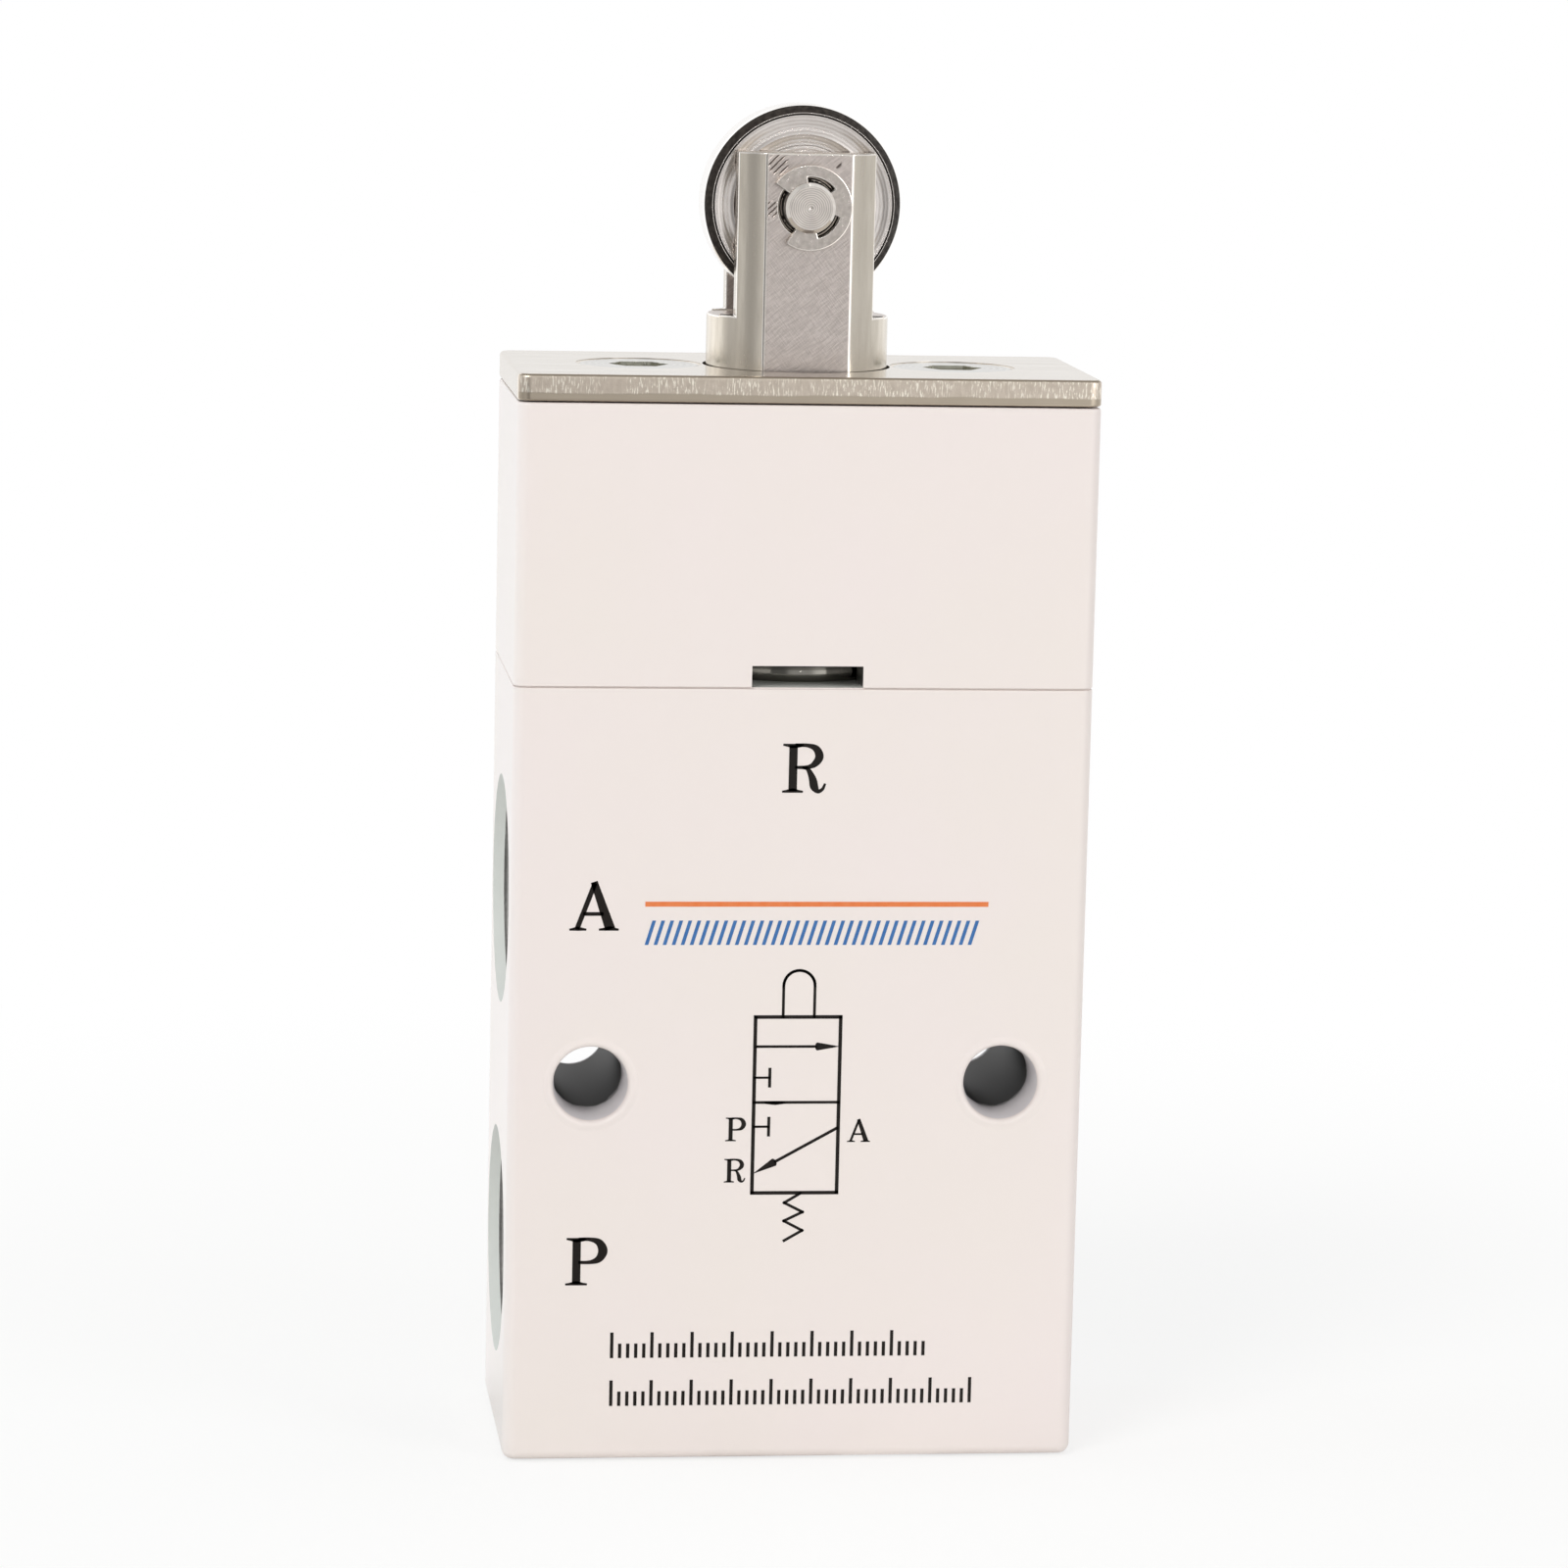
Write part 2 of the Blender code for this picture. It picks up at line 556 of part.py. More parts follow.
def guide_seal_levels():
    """Heights of the outer and the inner seal of the guide bush."""
    return GUIDE_BOTTOM + GUIDE_LENGTH * 0.28, GUIDE_BOTTOM + GUIDE_LENGTH * 0.68


def guide_bush():
    outer_z, inner_z = guide_seal_levels()
    half = SEAL_GROOVE_DEPTH / 2 + SEAL_GAP
    floor = UPPER_BORE_RADIUS - SEAL_GROOVE_DEPTH
    roof = STEM_RADIUS + SEAL_GROOVE_DEPTH
    rim = GUIDE_FLANGE_RADIUS - EDGE_BREAK
    profile = [(rim, GUIDE_TOP), (GUIDE_FLANGE_RADIUS, GUIDE_TOP - EDGE_BREAK)]
    profile += [(GUIDE_FLANGE_RADIUS, SPLIT_Z + SEAT_GAP), (GUIDE_RADIUS, SPLIT_Z + SEAT_GAP)]
    profile += [(GUIDE_RADIUS, outer_z + half), (floor, outer_z + half), (floor, outer_z - half)]
    profile += [(GUIDE_RADIUS, outer_z - half), (GUIDE_RADIUS, GUIDE_BOTTOM)]
    profile += [(STEM_HOLE_RADIUS, GUIDE_BOTTOM), (STEM_HOLE_RADIUS, inner_z - half)]
    profile += [(roof, inner_z - half), (roof, inner_z + half)]
    profile += [(STEM_HOLE_RADIUS, inner_z + half), (STEM_HOLE_RADIUS, GUIDE_TOP)]
    turned("guide_bush", profile, SIDES, ring=True).data.materials.append(BUSH_NICKEL)
    o_ring("guide_o_ring", floor, UPPER_BORE_RADIUS, outer_z)
    o_ring("stem_o_ring", STEM_RADIUS, roof, inner_z)


def poppet():
    """A cup that faces up for the seal disc, over a skirt whose four corners run in the bore."""
    rim = POPPET_SEAL_RADIUS + SEAL_GAP
    head = rim + POPPET_RIM
    skirt = LOWER_BORE_RADIUS - POPPET_SKIRT_CLEARANCE
    pocket = POPPET_SPRING_RADIUS + POPPET_SPRING_WIRE + SEAT_GAP
    shoulder = POPPET_POCKET_TOP + (skirt - head) / 2
    profile = [(0, SEAL_FLOOR), (rim, SEAL_FLOOR), (rim, POPPET_TOP), (head, POPPET_TOP), (head, shoulder)]
    profile += [(skirt, shoulder - (skirt - head)), (skirt, POPPET_BOTTOM), (pocket, POPPET_BOTTOM)]
    profile += [(pocket, POPPET_POCKET_TOP), (0, POPPET_POCKET_TOP)]
    obj = turned("poppet", profile, SIDES)
    across = max(POPPET_FLATS, 2 * (pocket + POPPET_WALL))
    for axis in (0, 1):
        cut(obj, *flat_cutters("poppet_flat", across, skirt, POPPET_BOTTOM - OVERRUN, shoulder, axis))
    obj.data.materials.append(BRASS)
    return obj


def poppet_seal():
    obj = rod("poppet_seal", POPPET_SEAL_RADIUS, SEAL_BOTTOM, SEAL_TOP)
    obj.data.materials.append(RUBBER)
    return obj


def bottom_plug():
    """The disc that closes the lower bore, with a spigot inside the spring and a groove for its seal."""
    radius = LOWER_BORE_RADIUS - PLUG_CLEARANCE
    floor = LOWER_BORE_RADIUS - PLUG_GROOVE_DEPTH
    middle, half = (PLUG_BOTTOM + PLUG_TOP) / 2, PLUG_GROOVE_DEPTH / 2 + SEAL_GAP
    low, high = middle - half, middle + half
    spigot = PLUG_TOP + PLUG_SPIGOT_HEIGHT
    profile = [(0, spigot), (PLUG_SPIGOT_RADIUS, spigot), (PLUG_SPIGOT_RADIUS, PLUG_TOP), (radius, PLUG_TOP)]
    profile += [(radius, high), (floor, high), (floor, low), (radius, low)]
    profile += [(radius, PLUG_BOTTOM), (PLUG_DIMPLE_RADIUS, PLUG_BOTTOM)]
    profile += [(PLUG_DIMPLE_RADIUS, PLUG_BOTTOM + PLUG_DIMPLE_DEPTH), (0, PLUG_BOTTOM + PLUG_DIMPLE_DEPTH)]
    turned("bottom_plug", profile, SIDES).data.materials.append(BRASS)
    o_ring("plug_o_ring", floor, LOWER_BORE_RADIUS, middle)


def circlip():
    """The ring in the groove below the plug, with a drilled lug at each side of its mouth."""
    inner = CIRCLIP_RADIUS - CIRCLIP_WIDTH
    lug = inner - CIRCLIP_LUG
    marks = [radians(a) for a in (14, 34, 326, 346)]
    zones = list(zip(marks[:-1], marks[1:], (lug, inner, lug)))
    level = (CIRCLIP_LEVEL + CIRCLIP_TOP) / 2
    mouth = radians(270)
    obj = split_ring("circlip", CIRCLIP_RADIUS, zones, mouth, CIRCLIP_THICKNESS, (0, 0, level))
    for side in (-1, 1):
        angle, reach = mouth + side * (marks[0] + marks[1]) / 2, (lug + inner) / 2
        at = (reach * cos(angle), reach * sin(angle), level)
        cut(obj, rod(f"lug_hole_{side}", CIRCLIP_HOLE_RADIUS, -CIRCLIP_THICKNESS, CIRCLIP_THICKNESS, 12, at))
    obj.data.materials.append(SPRING)


def joint_empty(name, z, pieces, parent=None):
    """An empty on a joint's axis that carries the pieces which move with it."""
    empty = bpy.data.objects.new(name, None)
    empty.empty_display_size = 0.004
    PARTS.objects.link(empty)
    base = parent.location.z if parent else 0.0
    empty.parent = parent
    empty.location.z = z - base
    for piece in pieces:
        piece.parent = empty
        piece.location.z -= z
    return empty


clear_scene()
PARTS = new_collection("roller_plunger_valve")
CUTTERS = new_collection("cutters")
PAINT = finish("cream_paint", (0.84, 0.78, 0.73), 0.45, 0.0)
NICKEL = finish("nickel_plate", (0.55, 0.50, 0.45), 0.28, 1.0)
ZINC = finish("zinc_plate", (0.60, 0.58, 0.55), 0.30, 1.0)
BUSH_NICKEL = finish("polished_nickel", (0.60, 0.57, 0.53), 0.10, 1.0)
STEEL = finish("turned_steel", (0.52, 0.49, 0.46), 0.30, 1.0)
CLIP_STEEL = finish("clip_steel", (0.42, 0.40, 0.38), 0.35, 1.0)
BRASS = finish("brass", (0.60, 0.42, 0.18), 0.35, 1.0)
BRONZE = finish("sintered_bronze", (0.42, 0.25, 0.13), 0.55, 1.0)
RUBBER = finish("black_rubber", (0.02, 0.02, 0.02), 0.70, 0.0)
SPRING = finish("spring_steel", (0.45, 0.43, 0.42), 0.32, 1.0)

spaces = [screw_space(f"screw_space_{side}", side * SCREW_X) for side in (-1, 1)]
valve_body(spaces)
upper_housing(spaces)
top_plate(spaces)
plate_screw("plate_screw_left", -SCREW_X)
plate_screw("plate_screw_right", SCREW_X)
guide_bush()
bottom_plug()
circlip()

clips = [pin_clip("clip_front", -clip_middle()), pin_clip("clip_rear", clip_middle())]
plunger = joint_empty("plunger_slide", PLATE_TOP, [roller_fork(), roller_pin(), plunger_stem(), *clips])
joint_empty("roller_spin", PIN_Z, [roller(), roller_bush()], plunger)
joint_empty("poppet_slide", SEAL_TOP, [poppet(), poppet_seal()])

low, high = GUIDE_TOP + SEAT_GAP, FORK_BOTTOM - SEAT_GAP
coil("stem_spring", STEM_SPRING_RADIUS, STEM_SPRING_WIRE, low, high, STEM_SPRING_TURNS)
low, high = PLUG_TOP + SEAT_GAP, POPPET_POCKET_TOP - SEAT_GAP
coil("poppet_spring", POPPET_SPRING_RADIUS, POPPET_SPRING_WIRE, low, high, POPPET_SPRING_TURNS)
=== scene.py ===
"""The looks of a 3/2 way roller plunger air valve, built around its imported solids.

Shapes are made in millimetres and become metres when a piece is finished. +Z is up along the plunger,
the printed front looks along -Y and the two ports look along -X.
"""

from math import cos, hypot, pi, radians, sin, sqrt, tan

import bmesh
import bpy
from mathutils import Matrix, Vector


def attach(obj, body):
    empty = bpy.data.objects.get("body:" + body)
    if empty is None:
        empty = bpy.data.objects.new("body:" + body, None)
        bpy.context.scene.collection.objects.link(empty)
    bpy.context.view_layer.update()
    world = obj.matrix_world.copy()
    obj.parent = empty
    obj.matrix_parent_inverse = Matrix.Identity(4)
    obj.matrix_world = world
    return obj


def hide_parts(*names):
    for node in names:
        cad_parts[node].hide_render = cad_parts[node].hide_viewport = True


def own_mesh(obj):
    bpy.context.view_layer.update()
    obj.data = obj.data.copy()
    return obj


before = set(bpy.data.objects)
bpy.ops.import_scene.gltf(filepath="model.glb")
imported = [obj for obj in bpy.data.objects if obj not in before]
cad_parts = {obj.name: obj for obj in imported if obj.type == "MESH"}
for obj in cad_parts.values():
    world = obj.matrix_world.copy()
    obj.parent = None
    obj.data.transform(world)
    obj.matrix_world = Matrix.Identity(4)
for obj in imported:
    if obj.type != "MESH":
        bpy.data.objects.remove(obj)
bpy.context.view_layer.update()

MM = 0.001
SMOOTH_BELOW = radians(32)
SIDES = 96
WELD = 1e-4
FINE_WELD = 1e-6

# Camera, in metres and radians
CAMERA_PLACE = (-0.0405878, -0.3317321, 0.0940163)
CAMERA_YAW = 0.1213
CAMERA_PITCH = 0.1591
CAMERA_ROLL = 0.0226
CAMERA_LENS = 126.304

# Block
WIDTH = 35.0
DEPTH = 17.0
FRONT = -DEPTH / 2
BODY_TOP = 47.5
HOUSING_LOW = 47.6
HOUSING_TOP = 64.5
PLATE_LOW = 64.6
PLATE_TOP = 66.2
SIDE_ROUND = 0.8
BOTTOM_ROUND = 0.6
EDGE_BREAK = 0.15
JOINT_BREAK = 0.06
JOINT_INSET = 0.12
JOINT_RISE = 0.085
PLATE_ROUND = 0.25
OVER = 1.0

# Ports and mounting holes
PORT_RADIUS = 6.58
PORT_CHAMFER = 0.42
PORT_LEAD = 0.65
PORT_DEPTH = 8.0
PORT_HEIGHTS = (33.9, 11.9)
PASSAGE_RADIUS = 3.0
DRILL_POINT = radians(31)
THREAD_PITCH = 1.337
THREAD_DEPTH = 0.8
MOUNT_X = 12.5
MOUNT_Z = 23.4
MOUNT_RADIUS = 2.15
MOUNT_MOUTH = 2.27
MOUNT_LIP = 0.3
MOUNT_LEAD = 1.2

# Notch and chambers
NOTCH = (-3.25, 3.45, 48.9)
UPPER_BORE = 5.5
LOWER_BORE = 6.0
SEAT_LOW, SEAT_HIGH = 21.6, 25.0
SEAT_RADIUS = 3.4
CLIP_GROOVE = (6.45, 1.5, 2.45)
HOUSING_BORE = 6.3
POCKET_RADIUS = 6.5
POCKET_FLATS = 10.1
POCKET_LOW = 57.0

# Plate screws
SCREW_X = 9.6
SCREW_RADIUS = 2.0
SCREW_HEAD = 3.7
SCREW_FACE = 66.15
SCREW_TIP = 42.15
SCREW_CLEARANCE = 0.12
SCREW_PITCH = 0.7
KEY_FLATS = 3.2
KEY_DEPTH = 1.3
KEY_MOUTH = 1.62

# Fork, roller and pin
FORK_RADIUS = 5.5
FORK_FLATS = 9.7
EAR_WIDTH = 8.3
EAR_LOW = 69.35
EAR_TOP = 79.2
SLOT_WIDTH = 4.4
SLOT_LOW = 69.3
FLANGE_RADIUS = 6.3
FLANGE_LOW, FLANGE_TOP = 60.5, 64.5
STEM_RADIUS = 3.0
STEM_TOP = 63.0
PIN_Z = 76.0
PIN_RADIUS = 1.5
PIN_HALF = 5.75
PIN_GROOVE = (1.18, 4.9, 5.4)
CLIP_MIDDLE = 5.15
CLIP_THICKNESS = 0.4
ROLLER_WIDTH = 4.0
BUSH_OUTER, BUSH_INNER = 2.26, 1.56

# Guide bush, plug and circlip
GUIDE_TOP = 48.55
GUIDE_LOW = 38.5
GUIDE_BARREL = 1.2
PLUG_LOW, PLUG_TOP = 2.5, 6.2
CIRCLIP_LOW, CIRCLIP_TOP = 1.6, 2.4

# The middle of the whole valve and of the roller, and the turn that points a shape's own +Z somewhere else
MIDDLE = (0, 0, 0)
AT_PIN = (0, 0, PIN_Z)
TURNS = {
    None: Matrix.Identity(4),
    "left": Matrix.Rotation(-pi / 2, 4, "Y"),
    "front": Matrix.Rotation(pi / 2, 4, "X"),
}

# Light that the white room itself sends onto the valve
WORLD_LIGHT = 0.475

# The room as metal mirrors it: brightness on the camera's side, and cards in it, each with its bearing from
# the front, the angle it fills, the angle by which it has faded out, and its change of brightness
ROOM_FRONT = 0.72
ROOM_CARDS = (
    (-21, 8, 18, -0.5),
    (35, 8, 18, 0.8),
    (-68, 4, 13, -0.3),
    (-102, 4, 11, -0.25),
    (-140, 14, 28, 0.35),
    (140, 8, 24, 0.15),
)

# Printed ink stands this much out of the paint and into it
INK = 0.012

# A wave texture of spacing P needs the scale WAVE_PERIOD / P
WAVE_PERIOD = 2 * pi / 20

# The plate's torn band starts at this height, and the walls of the mounting holes are painted light
# from this far off the block's middle outwards, with painted shade nearer the middle
TORN_FROM = 65.08
LIT_POOL_FROM = 4.7
FAR_LIT_POOL_FROM = 7.3

# Scratches on the front ear: place, reach, turn about Y in degrees, spacing
EAR_SCRATCHES = (
    ((-1.95, -4.85, 78.55), 0.75, 45, 0.28),
    ((-2.2, -4.85, 75.9), 0.6, 45, 0.25),
    ((1.6, -4.85, 78.6), 0.3, 45, 0.6),
)


def linear(code):
    """An sRGB hex colour as linear red, green and blue, with full opacity."""
    channels = [int(code[i : i + 2], 16) / 255 for i in (1, 3, 5)]
    return tuple(c / 12.92 if c <= 0.04045 else ((c + 0.055) / 1.055) ** 2.4 for c in channels) + (1.0,)


def per_mm(size):
    """The texture scale at which a pattern repeats about every so many millimetres."""
    return 1 / (size * MM)


def add(tree, kind, inputs=None, **settings):
    """Adds a node. An input takes a value, another node's socket, or a node for its first output in use."""
    made = tree.nodes.new(kind)
    for name, value in settings.items():
        setattr(made, name, value)
    for key, value in (inputs or {}).items():
        if isinstance(value, bpy.types.Node):
            value = next(socket for socket in value.outputs if socket.enabled)
        if isinstance(value, bpy.types.NodeSocket):
            tree.links.new(value, made.inputs[key])
        else:
            made.inputs[key].default_value = value
    return made


def new_material(name):
    """An empty material, its node tree, and the coordinates that its patterns lie in."""
    made = bpy.data.materials.new(name)
    made.use_nodes = True
    tree = made.node_tree
    tree.nodes.clear()
    return made, tree, add(tree, "ShaderNodeTexCoord").outputs["Object"]


def cream_enamel():
    """Baked enamel over cast and milled alloy: a faint orange peel and a slow drift of its warm white."""
    made, tree, place = new_material("cream_enamel")
    drift = add(tree, "ShaderNodeTexNoise", {"Vector": place, "Scale": per_mm(11), "Detail": 3.0})
    inputs = {0: drift, 6: linear("#EEE6DF"), 7: linear("#F0E5E4")}
    tone = add(tree, "ShaderNodeMix", inputs, data_type="RGBA")
    peel = add(tree, "ShaderNodeTexNoise", {"Vector": place, "Scale": per_mm(0.7), "Detail": 2.0})
    sheen = add(tree, "ShaderNodeMapRange", {"Value": peel, "To Min": 0.34, "To Max": 0.44})
    bump = add(tree, "ShaderNodeBump", {"Height": peel, "Strength": 0.6, "Distance": 0.01 * MM})
    values = {"Base Color": tone, "Roughness": sheen, "Normal": bump, "IOR": 1.5}
    add(tree, "ShaderNodeOutputMaterial", {"Surface": add(tree, "ShaderNodeBsdfPrincipled", values)})
    return made


def spotted(name, size, detail, first, second, values, strength=0.0, depth=0.0):
    """A finish in two tones, in spots of about one size in millimetres, which can also be a little raised."""
    made, tree, place = new_material(name)
    spots = add(tree, "ShaderNodeTexNoise", {"Vector": place, "Scale": per_mm(size), "Detail": detail})
    tone = add(tree, "ShaderNodeMix", {0: spots, 6: linear(first), 7: linear(second)}, data_type="RGBA")
    values = {"Base Color": tone, **values}
    if depth:
        relief = {"Height": spots, "Strength": strength, "Distance": depth * MM}
        values["Normal"] = add(tree, "ShaderNodeBump", relief)
    add(tree, "ShaderNodeOutputMaterial", {"Surface": add(tree, "ShaderNodeBsdfPrincipled", values)})
    return made


def streaked_metal(name, dark, light, roughness, streak, depth):
    """A metal with tool marks, of the streak's size along each axis in millimetres.

    Real marks are finer than a pixel, so these are drawn as coarse as they need to show.
    """
    made, tree, place = new_material(name)
    scaled = add(tree, "ShaderNodeMapping", {"Vector": place, "Scale": [per_mm(size) for size in streak]})
    marks = add(tree, "ShaderNodeTexNoise", {"Vector": scaled, "Scale": 1.0, "Detail": 4.0})
    spread = add(tree, "ShaderNodeMapRange", {"Value": marks, "From Min": 0.32, "From Max": 0.68})
    tone = add(tree, "ShaderNodeMix", {0: spread, 6: linear(dark), 7: linear(light)}, data_type="RGBA")
    limits = {"Value": spread, "To Min": roughness * 1.25, "To Max": roughness * 0.8}
    gloss = add(tree, "ShaderNodeMapRange", limits)
    bump = add(tree, "ShaderNodeBump", {"Height": spread, "Strength": 1.0, "Distance": depth * MM})
    values = {"Base Color": tone, "Metallic": 1.0, "Roughness": gloss, "Normal": bump}
    add(tree, "ShaderNodeOutputMaterial", {"Surface": add(tree, "ShaderNodeBsdfPrincipled", values)})
    return made


def turned_metal(name, dark, light, roughness, centre, axis, ring, depth, spun=0.0):
    """A metal turned on a lathe: rings about its own axis. A spun one stretches its highlight across them.

    Real rings are finer than a pixel, so these are drawn as coarse as they need to show.
    """
    made, tree, place = new_material(name)
    centred = add(tree, "ShaderNodeMapping", {"Vector": place, "Location": [-c * MM for c in centre]})
    wave = {"Vector": centred, "Scale": per_mm(ring) * WAVE_PERIOD}
    wave |= {"Distortion": 1.2, "Detail": 2.0, "Detail Scale": 1.5}
    rings = add(tree, "ShaderNodeTexWave", wave, wave_type="RINGS", rings_direction=axis)
    patch = add(tree, "ShaderNodeTexNoise", {"Vector": centred, "Scale": per_mm(0.9), "Detail": 3.0})
    both = add(tree, "ShaderNodeMix", {0: 0.5, 2: rings.outputs["Fac"], 3: patch}, data_type="FLOAT")
    tone = add(tree, "ShaderNodeMix", {0: both, 6: linear(dark), 7: linear(light)}, data_type="RGBA")
    bump = add(tree, "ShaderNodeBump", {"Height": both, "Strength": 1.0, "Distance": depth * MM})
    around = add(tree, "ShaderNodeTangent", direction_type="RADIAL", axis=axis)
    values = {"Base Color": tone, "Metallic": 1.0, "Roughness": roughness, "Normal": bump, "Tangent": around}
    values |= {"Anisotropic": spun, "Anisotropic Rotation": 0.25 if spun else 0.0}
    add(tree, "ShaderNodeOutputMaterial", {"Surface": add(tree, "ShaderNodeBsdfPrincipled", values)})
    return made


def milled_nickel():
    """Milled flats under nickel: cutter marks that cross, and a few deeper scratches on the front ear."""
    made, tree, place = new_material("milled_nickel")
    grain = 0.5
    for turn in (-38, 52):
        way = {"Vector": place, "Rotation": (0, radians(turn), 0)}
        along = add(tree, "ShaderNodeMapping", way, vector_type="TEXTURE")
        fine = {"Vector": along, "Scale": [per_mm(size) for size in (0.07, 0.07, 0.7)]}
        scaled = add(tree, "ShaderNodeMapping", fine)
        marks = add(tree, "ShaderNodeTexNoise", {"Vector": scaled, "Scale": 1.0, "Detail": 4.0})
        grain = add(tree, "ShaderNodeMix", {0: 0.55, 2: grain, 3: marks}, data_type="FLOAT")
    height = add(tree, "ShaderNodeMapRange", {"Value": grain, "From Min": 0.4, "From Max": 0.6})
    for (x, y, z), reach, turn, spacing in EAR_SCRATCHES:
        inputs = {0: place, 1: (x * MM, y * MM, z * MM)}
        near = add(tree, "ShaderNodeVectorMath", inputs, operation="DISTANCE")
        limits = {"Value": near, "From Min": 0.6 * reach * MM, "From Max": reach * MM}
        limits |= {"To Min": 1.0, "To Max": 0.0}
        inside = add(tree, "ShaderNodeMapRange", limits)
        way = {"Vector": place, "Rotation": (0, radians(turn), 0)}
        along = add(tree, "ShaderNodeMapping", way, vector_type="TEXTURE")
        wave = {"Vector": along, "Scale": per_mm(spacing) * WAVE_PERIOD}
        wave |= {"Distortion": 0.8, "Detail": 1.0, "Detail Scale": 0.4}
        lines = add(tree, "ShaderNodeTexWave", wave, wave_type="BANDS", bands_direction="X").outputs["Fac"]
        thin = add(tree, "ShaderNodeMapRange", {"Value": lines, "From Min": 0.6, "From Max": 0.95})
        mark = add(tree, "ShaderNodeMath", {0: thin, 1: inside}, operation="MULTIPLY")
        deep = add(tree, "ShaderNodeMath", {0: mark, 1: 4.0}, operation="MULTIPLY")
        height = add(tree, "ShaderNodeMath", {0: height, 1: deep}, operation="SUBTRACT")
    tones = {0: height, 6: linear("#BEB4AE"), 7: linear("#D6CCC6")}
    tone = add(tree, "ShaderNodeMix", tones, data_type="RGBA", clamp_factor=True)
    inputs = {"Value": height, "From Min": -0.4, "From Max": -2.5, "To Max": 0.95}
    scored = add(tree, "ShaderNodeMapRange", inputs)
    tone = add(tree, "ShaderNodeMix", {0: scored, 6: tone, 7: linear("#544C47")}, data_type="RGBA")
    bump = add(tree, "ShaderNodeBump", {"Height": height, "Strength": 1.0, "Distance": 0.008 * MM})
    values = {"Base Color": tone, "Metallic": 1.0, "Roughness": 0.3, "Normal": bump}
    add(tree, "ShaderNodeOutputMaterial", {"Surface": add(tree, "ShaderNodeBsdfPrincipled", values)})
    return made


def sheared_nickel():
    """A punched edge under nickel: a dark line along its top as painted reflection, torn metal streaked with
    painted glints, and a smooth darker band.
    """
    made, tree, place = new_material("sheared_nickel")
    level = add(tree, "ShaderNodeSeparateXYZ", {0: place}).outputs["Z"]
    fields = []
    for sizes in ((2.5, 2.5, 2.5), (1.6, 1.6, 1.6), (0.35, 0.35, 0.5), (0.1, 0.1, 0.55)):
        scaled = add(tree, "ShaderNodeMapping", {"Vector": place, "Scale": [per_mm(size) for size in sizes]})
        fields.append(add(tree, "ShaderNodeTexNoise", {"Vector": scaled, "Scale": 1.0, "Detail": 3.0}))
    wobble, patch, mottle, streak = fields
    shift = add(tree, "ShaderNodeMath", {0: wobble, 1: 0.2 * MM}, operation="MULTIPLY")
    edge = add(tree, "ShaderNodeMath", {0: level, 1: shift}, operation="ADD")
    limits = {"Value": edge, "From Min": (TORN_FROM + 0.05) * MM, "From Max": (TORN_FROM + 0.15) * MM}
    torn = add(tree, "ShaderNodeMapRange", limits)
    inputs = {0: mottle, 6: linear("#C2B5A6"), 7: linear("#DDD1C3")}
    dull = add(tree, "ShaderNodeMix", inputs, data_type="RGBA")
    crowd = add(tree, "ShaderNodeMapRange", {"Value": patch, "From Min": 0.34, "From Max": 0.52})
    # Bright streaks in the torn band are painted glints
    lit = add(tree, "ShaderNodeMapRange", {"Value": streak, "From Min": 0.53, "From Max": 0.62})
    painted_glints = add(tree, "ShaderNodeMath", {0: lit, 1: crowd}, operation="MULTIPLY")
    upper = add(tree, "ShaderNodeMix", {0: painted_glints, 6: dull, 7: linear("#FFF8EA")}, data_type="RGBA")
    inputs = {0: patch, 6: linear("#B4A897"), 7: linear("#C2B6A5")}
    lower = add(tree, "ShaderNodeMix", inputs, data_type="RGBA")
    tone = add(tree, "ShaderNodeMix", {0: torn, 6: lower, 7: upper}, data_type="RGBA")
    # The dark line along the rounded top edge is a painted reflection
    limits = {"Value": level, "From Min": (PLATE_TOP - 0.16) * MM, "From Max": (PLATE_TOP - 0.09) * MM}
    painted_reflection_rim = add(tree, "ShaderNodeMapRange", limits)
    tone = add(tree, "ShaderNodeMix", {0: painted_reflection_rim, 6: tone, 7: linear("#8C8172")}, data_type="RGBA")
    rough = add(tree, "ShaderNodeMath", {0: mottle, 1: torn}, operation="MULTIPLY")
    bump = add(tree, "ShaderNodeBump", {"Height": rough, "Strength": 1.0, "Distance": 0.02 * MM})
    values = {"Base Color": tone, "Metallic": 1.0, "Roughness": 0.36, "Normal": bump}
    add(tree, "ShaderNodeOutputMaterial", {"Surface": add(tree, "ShaderNodeBsdfPrincipled", values)})
    return made


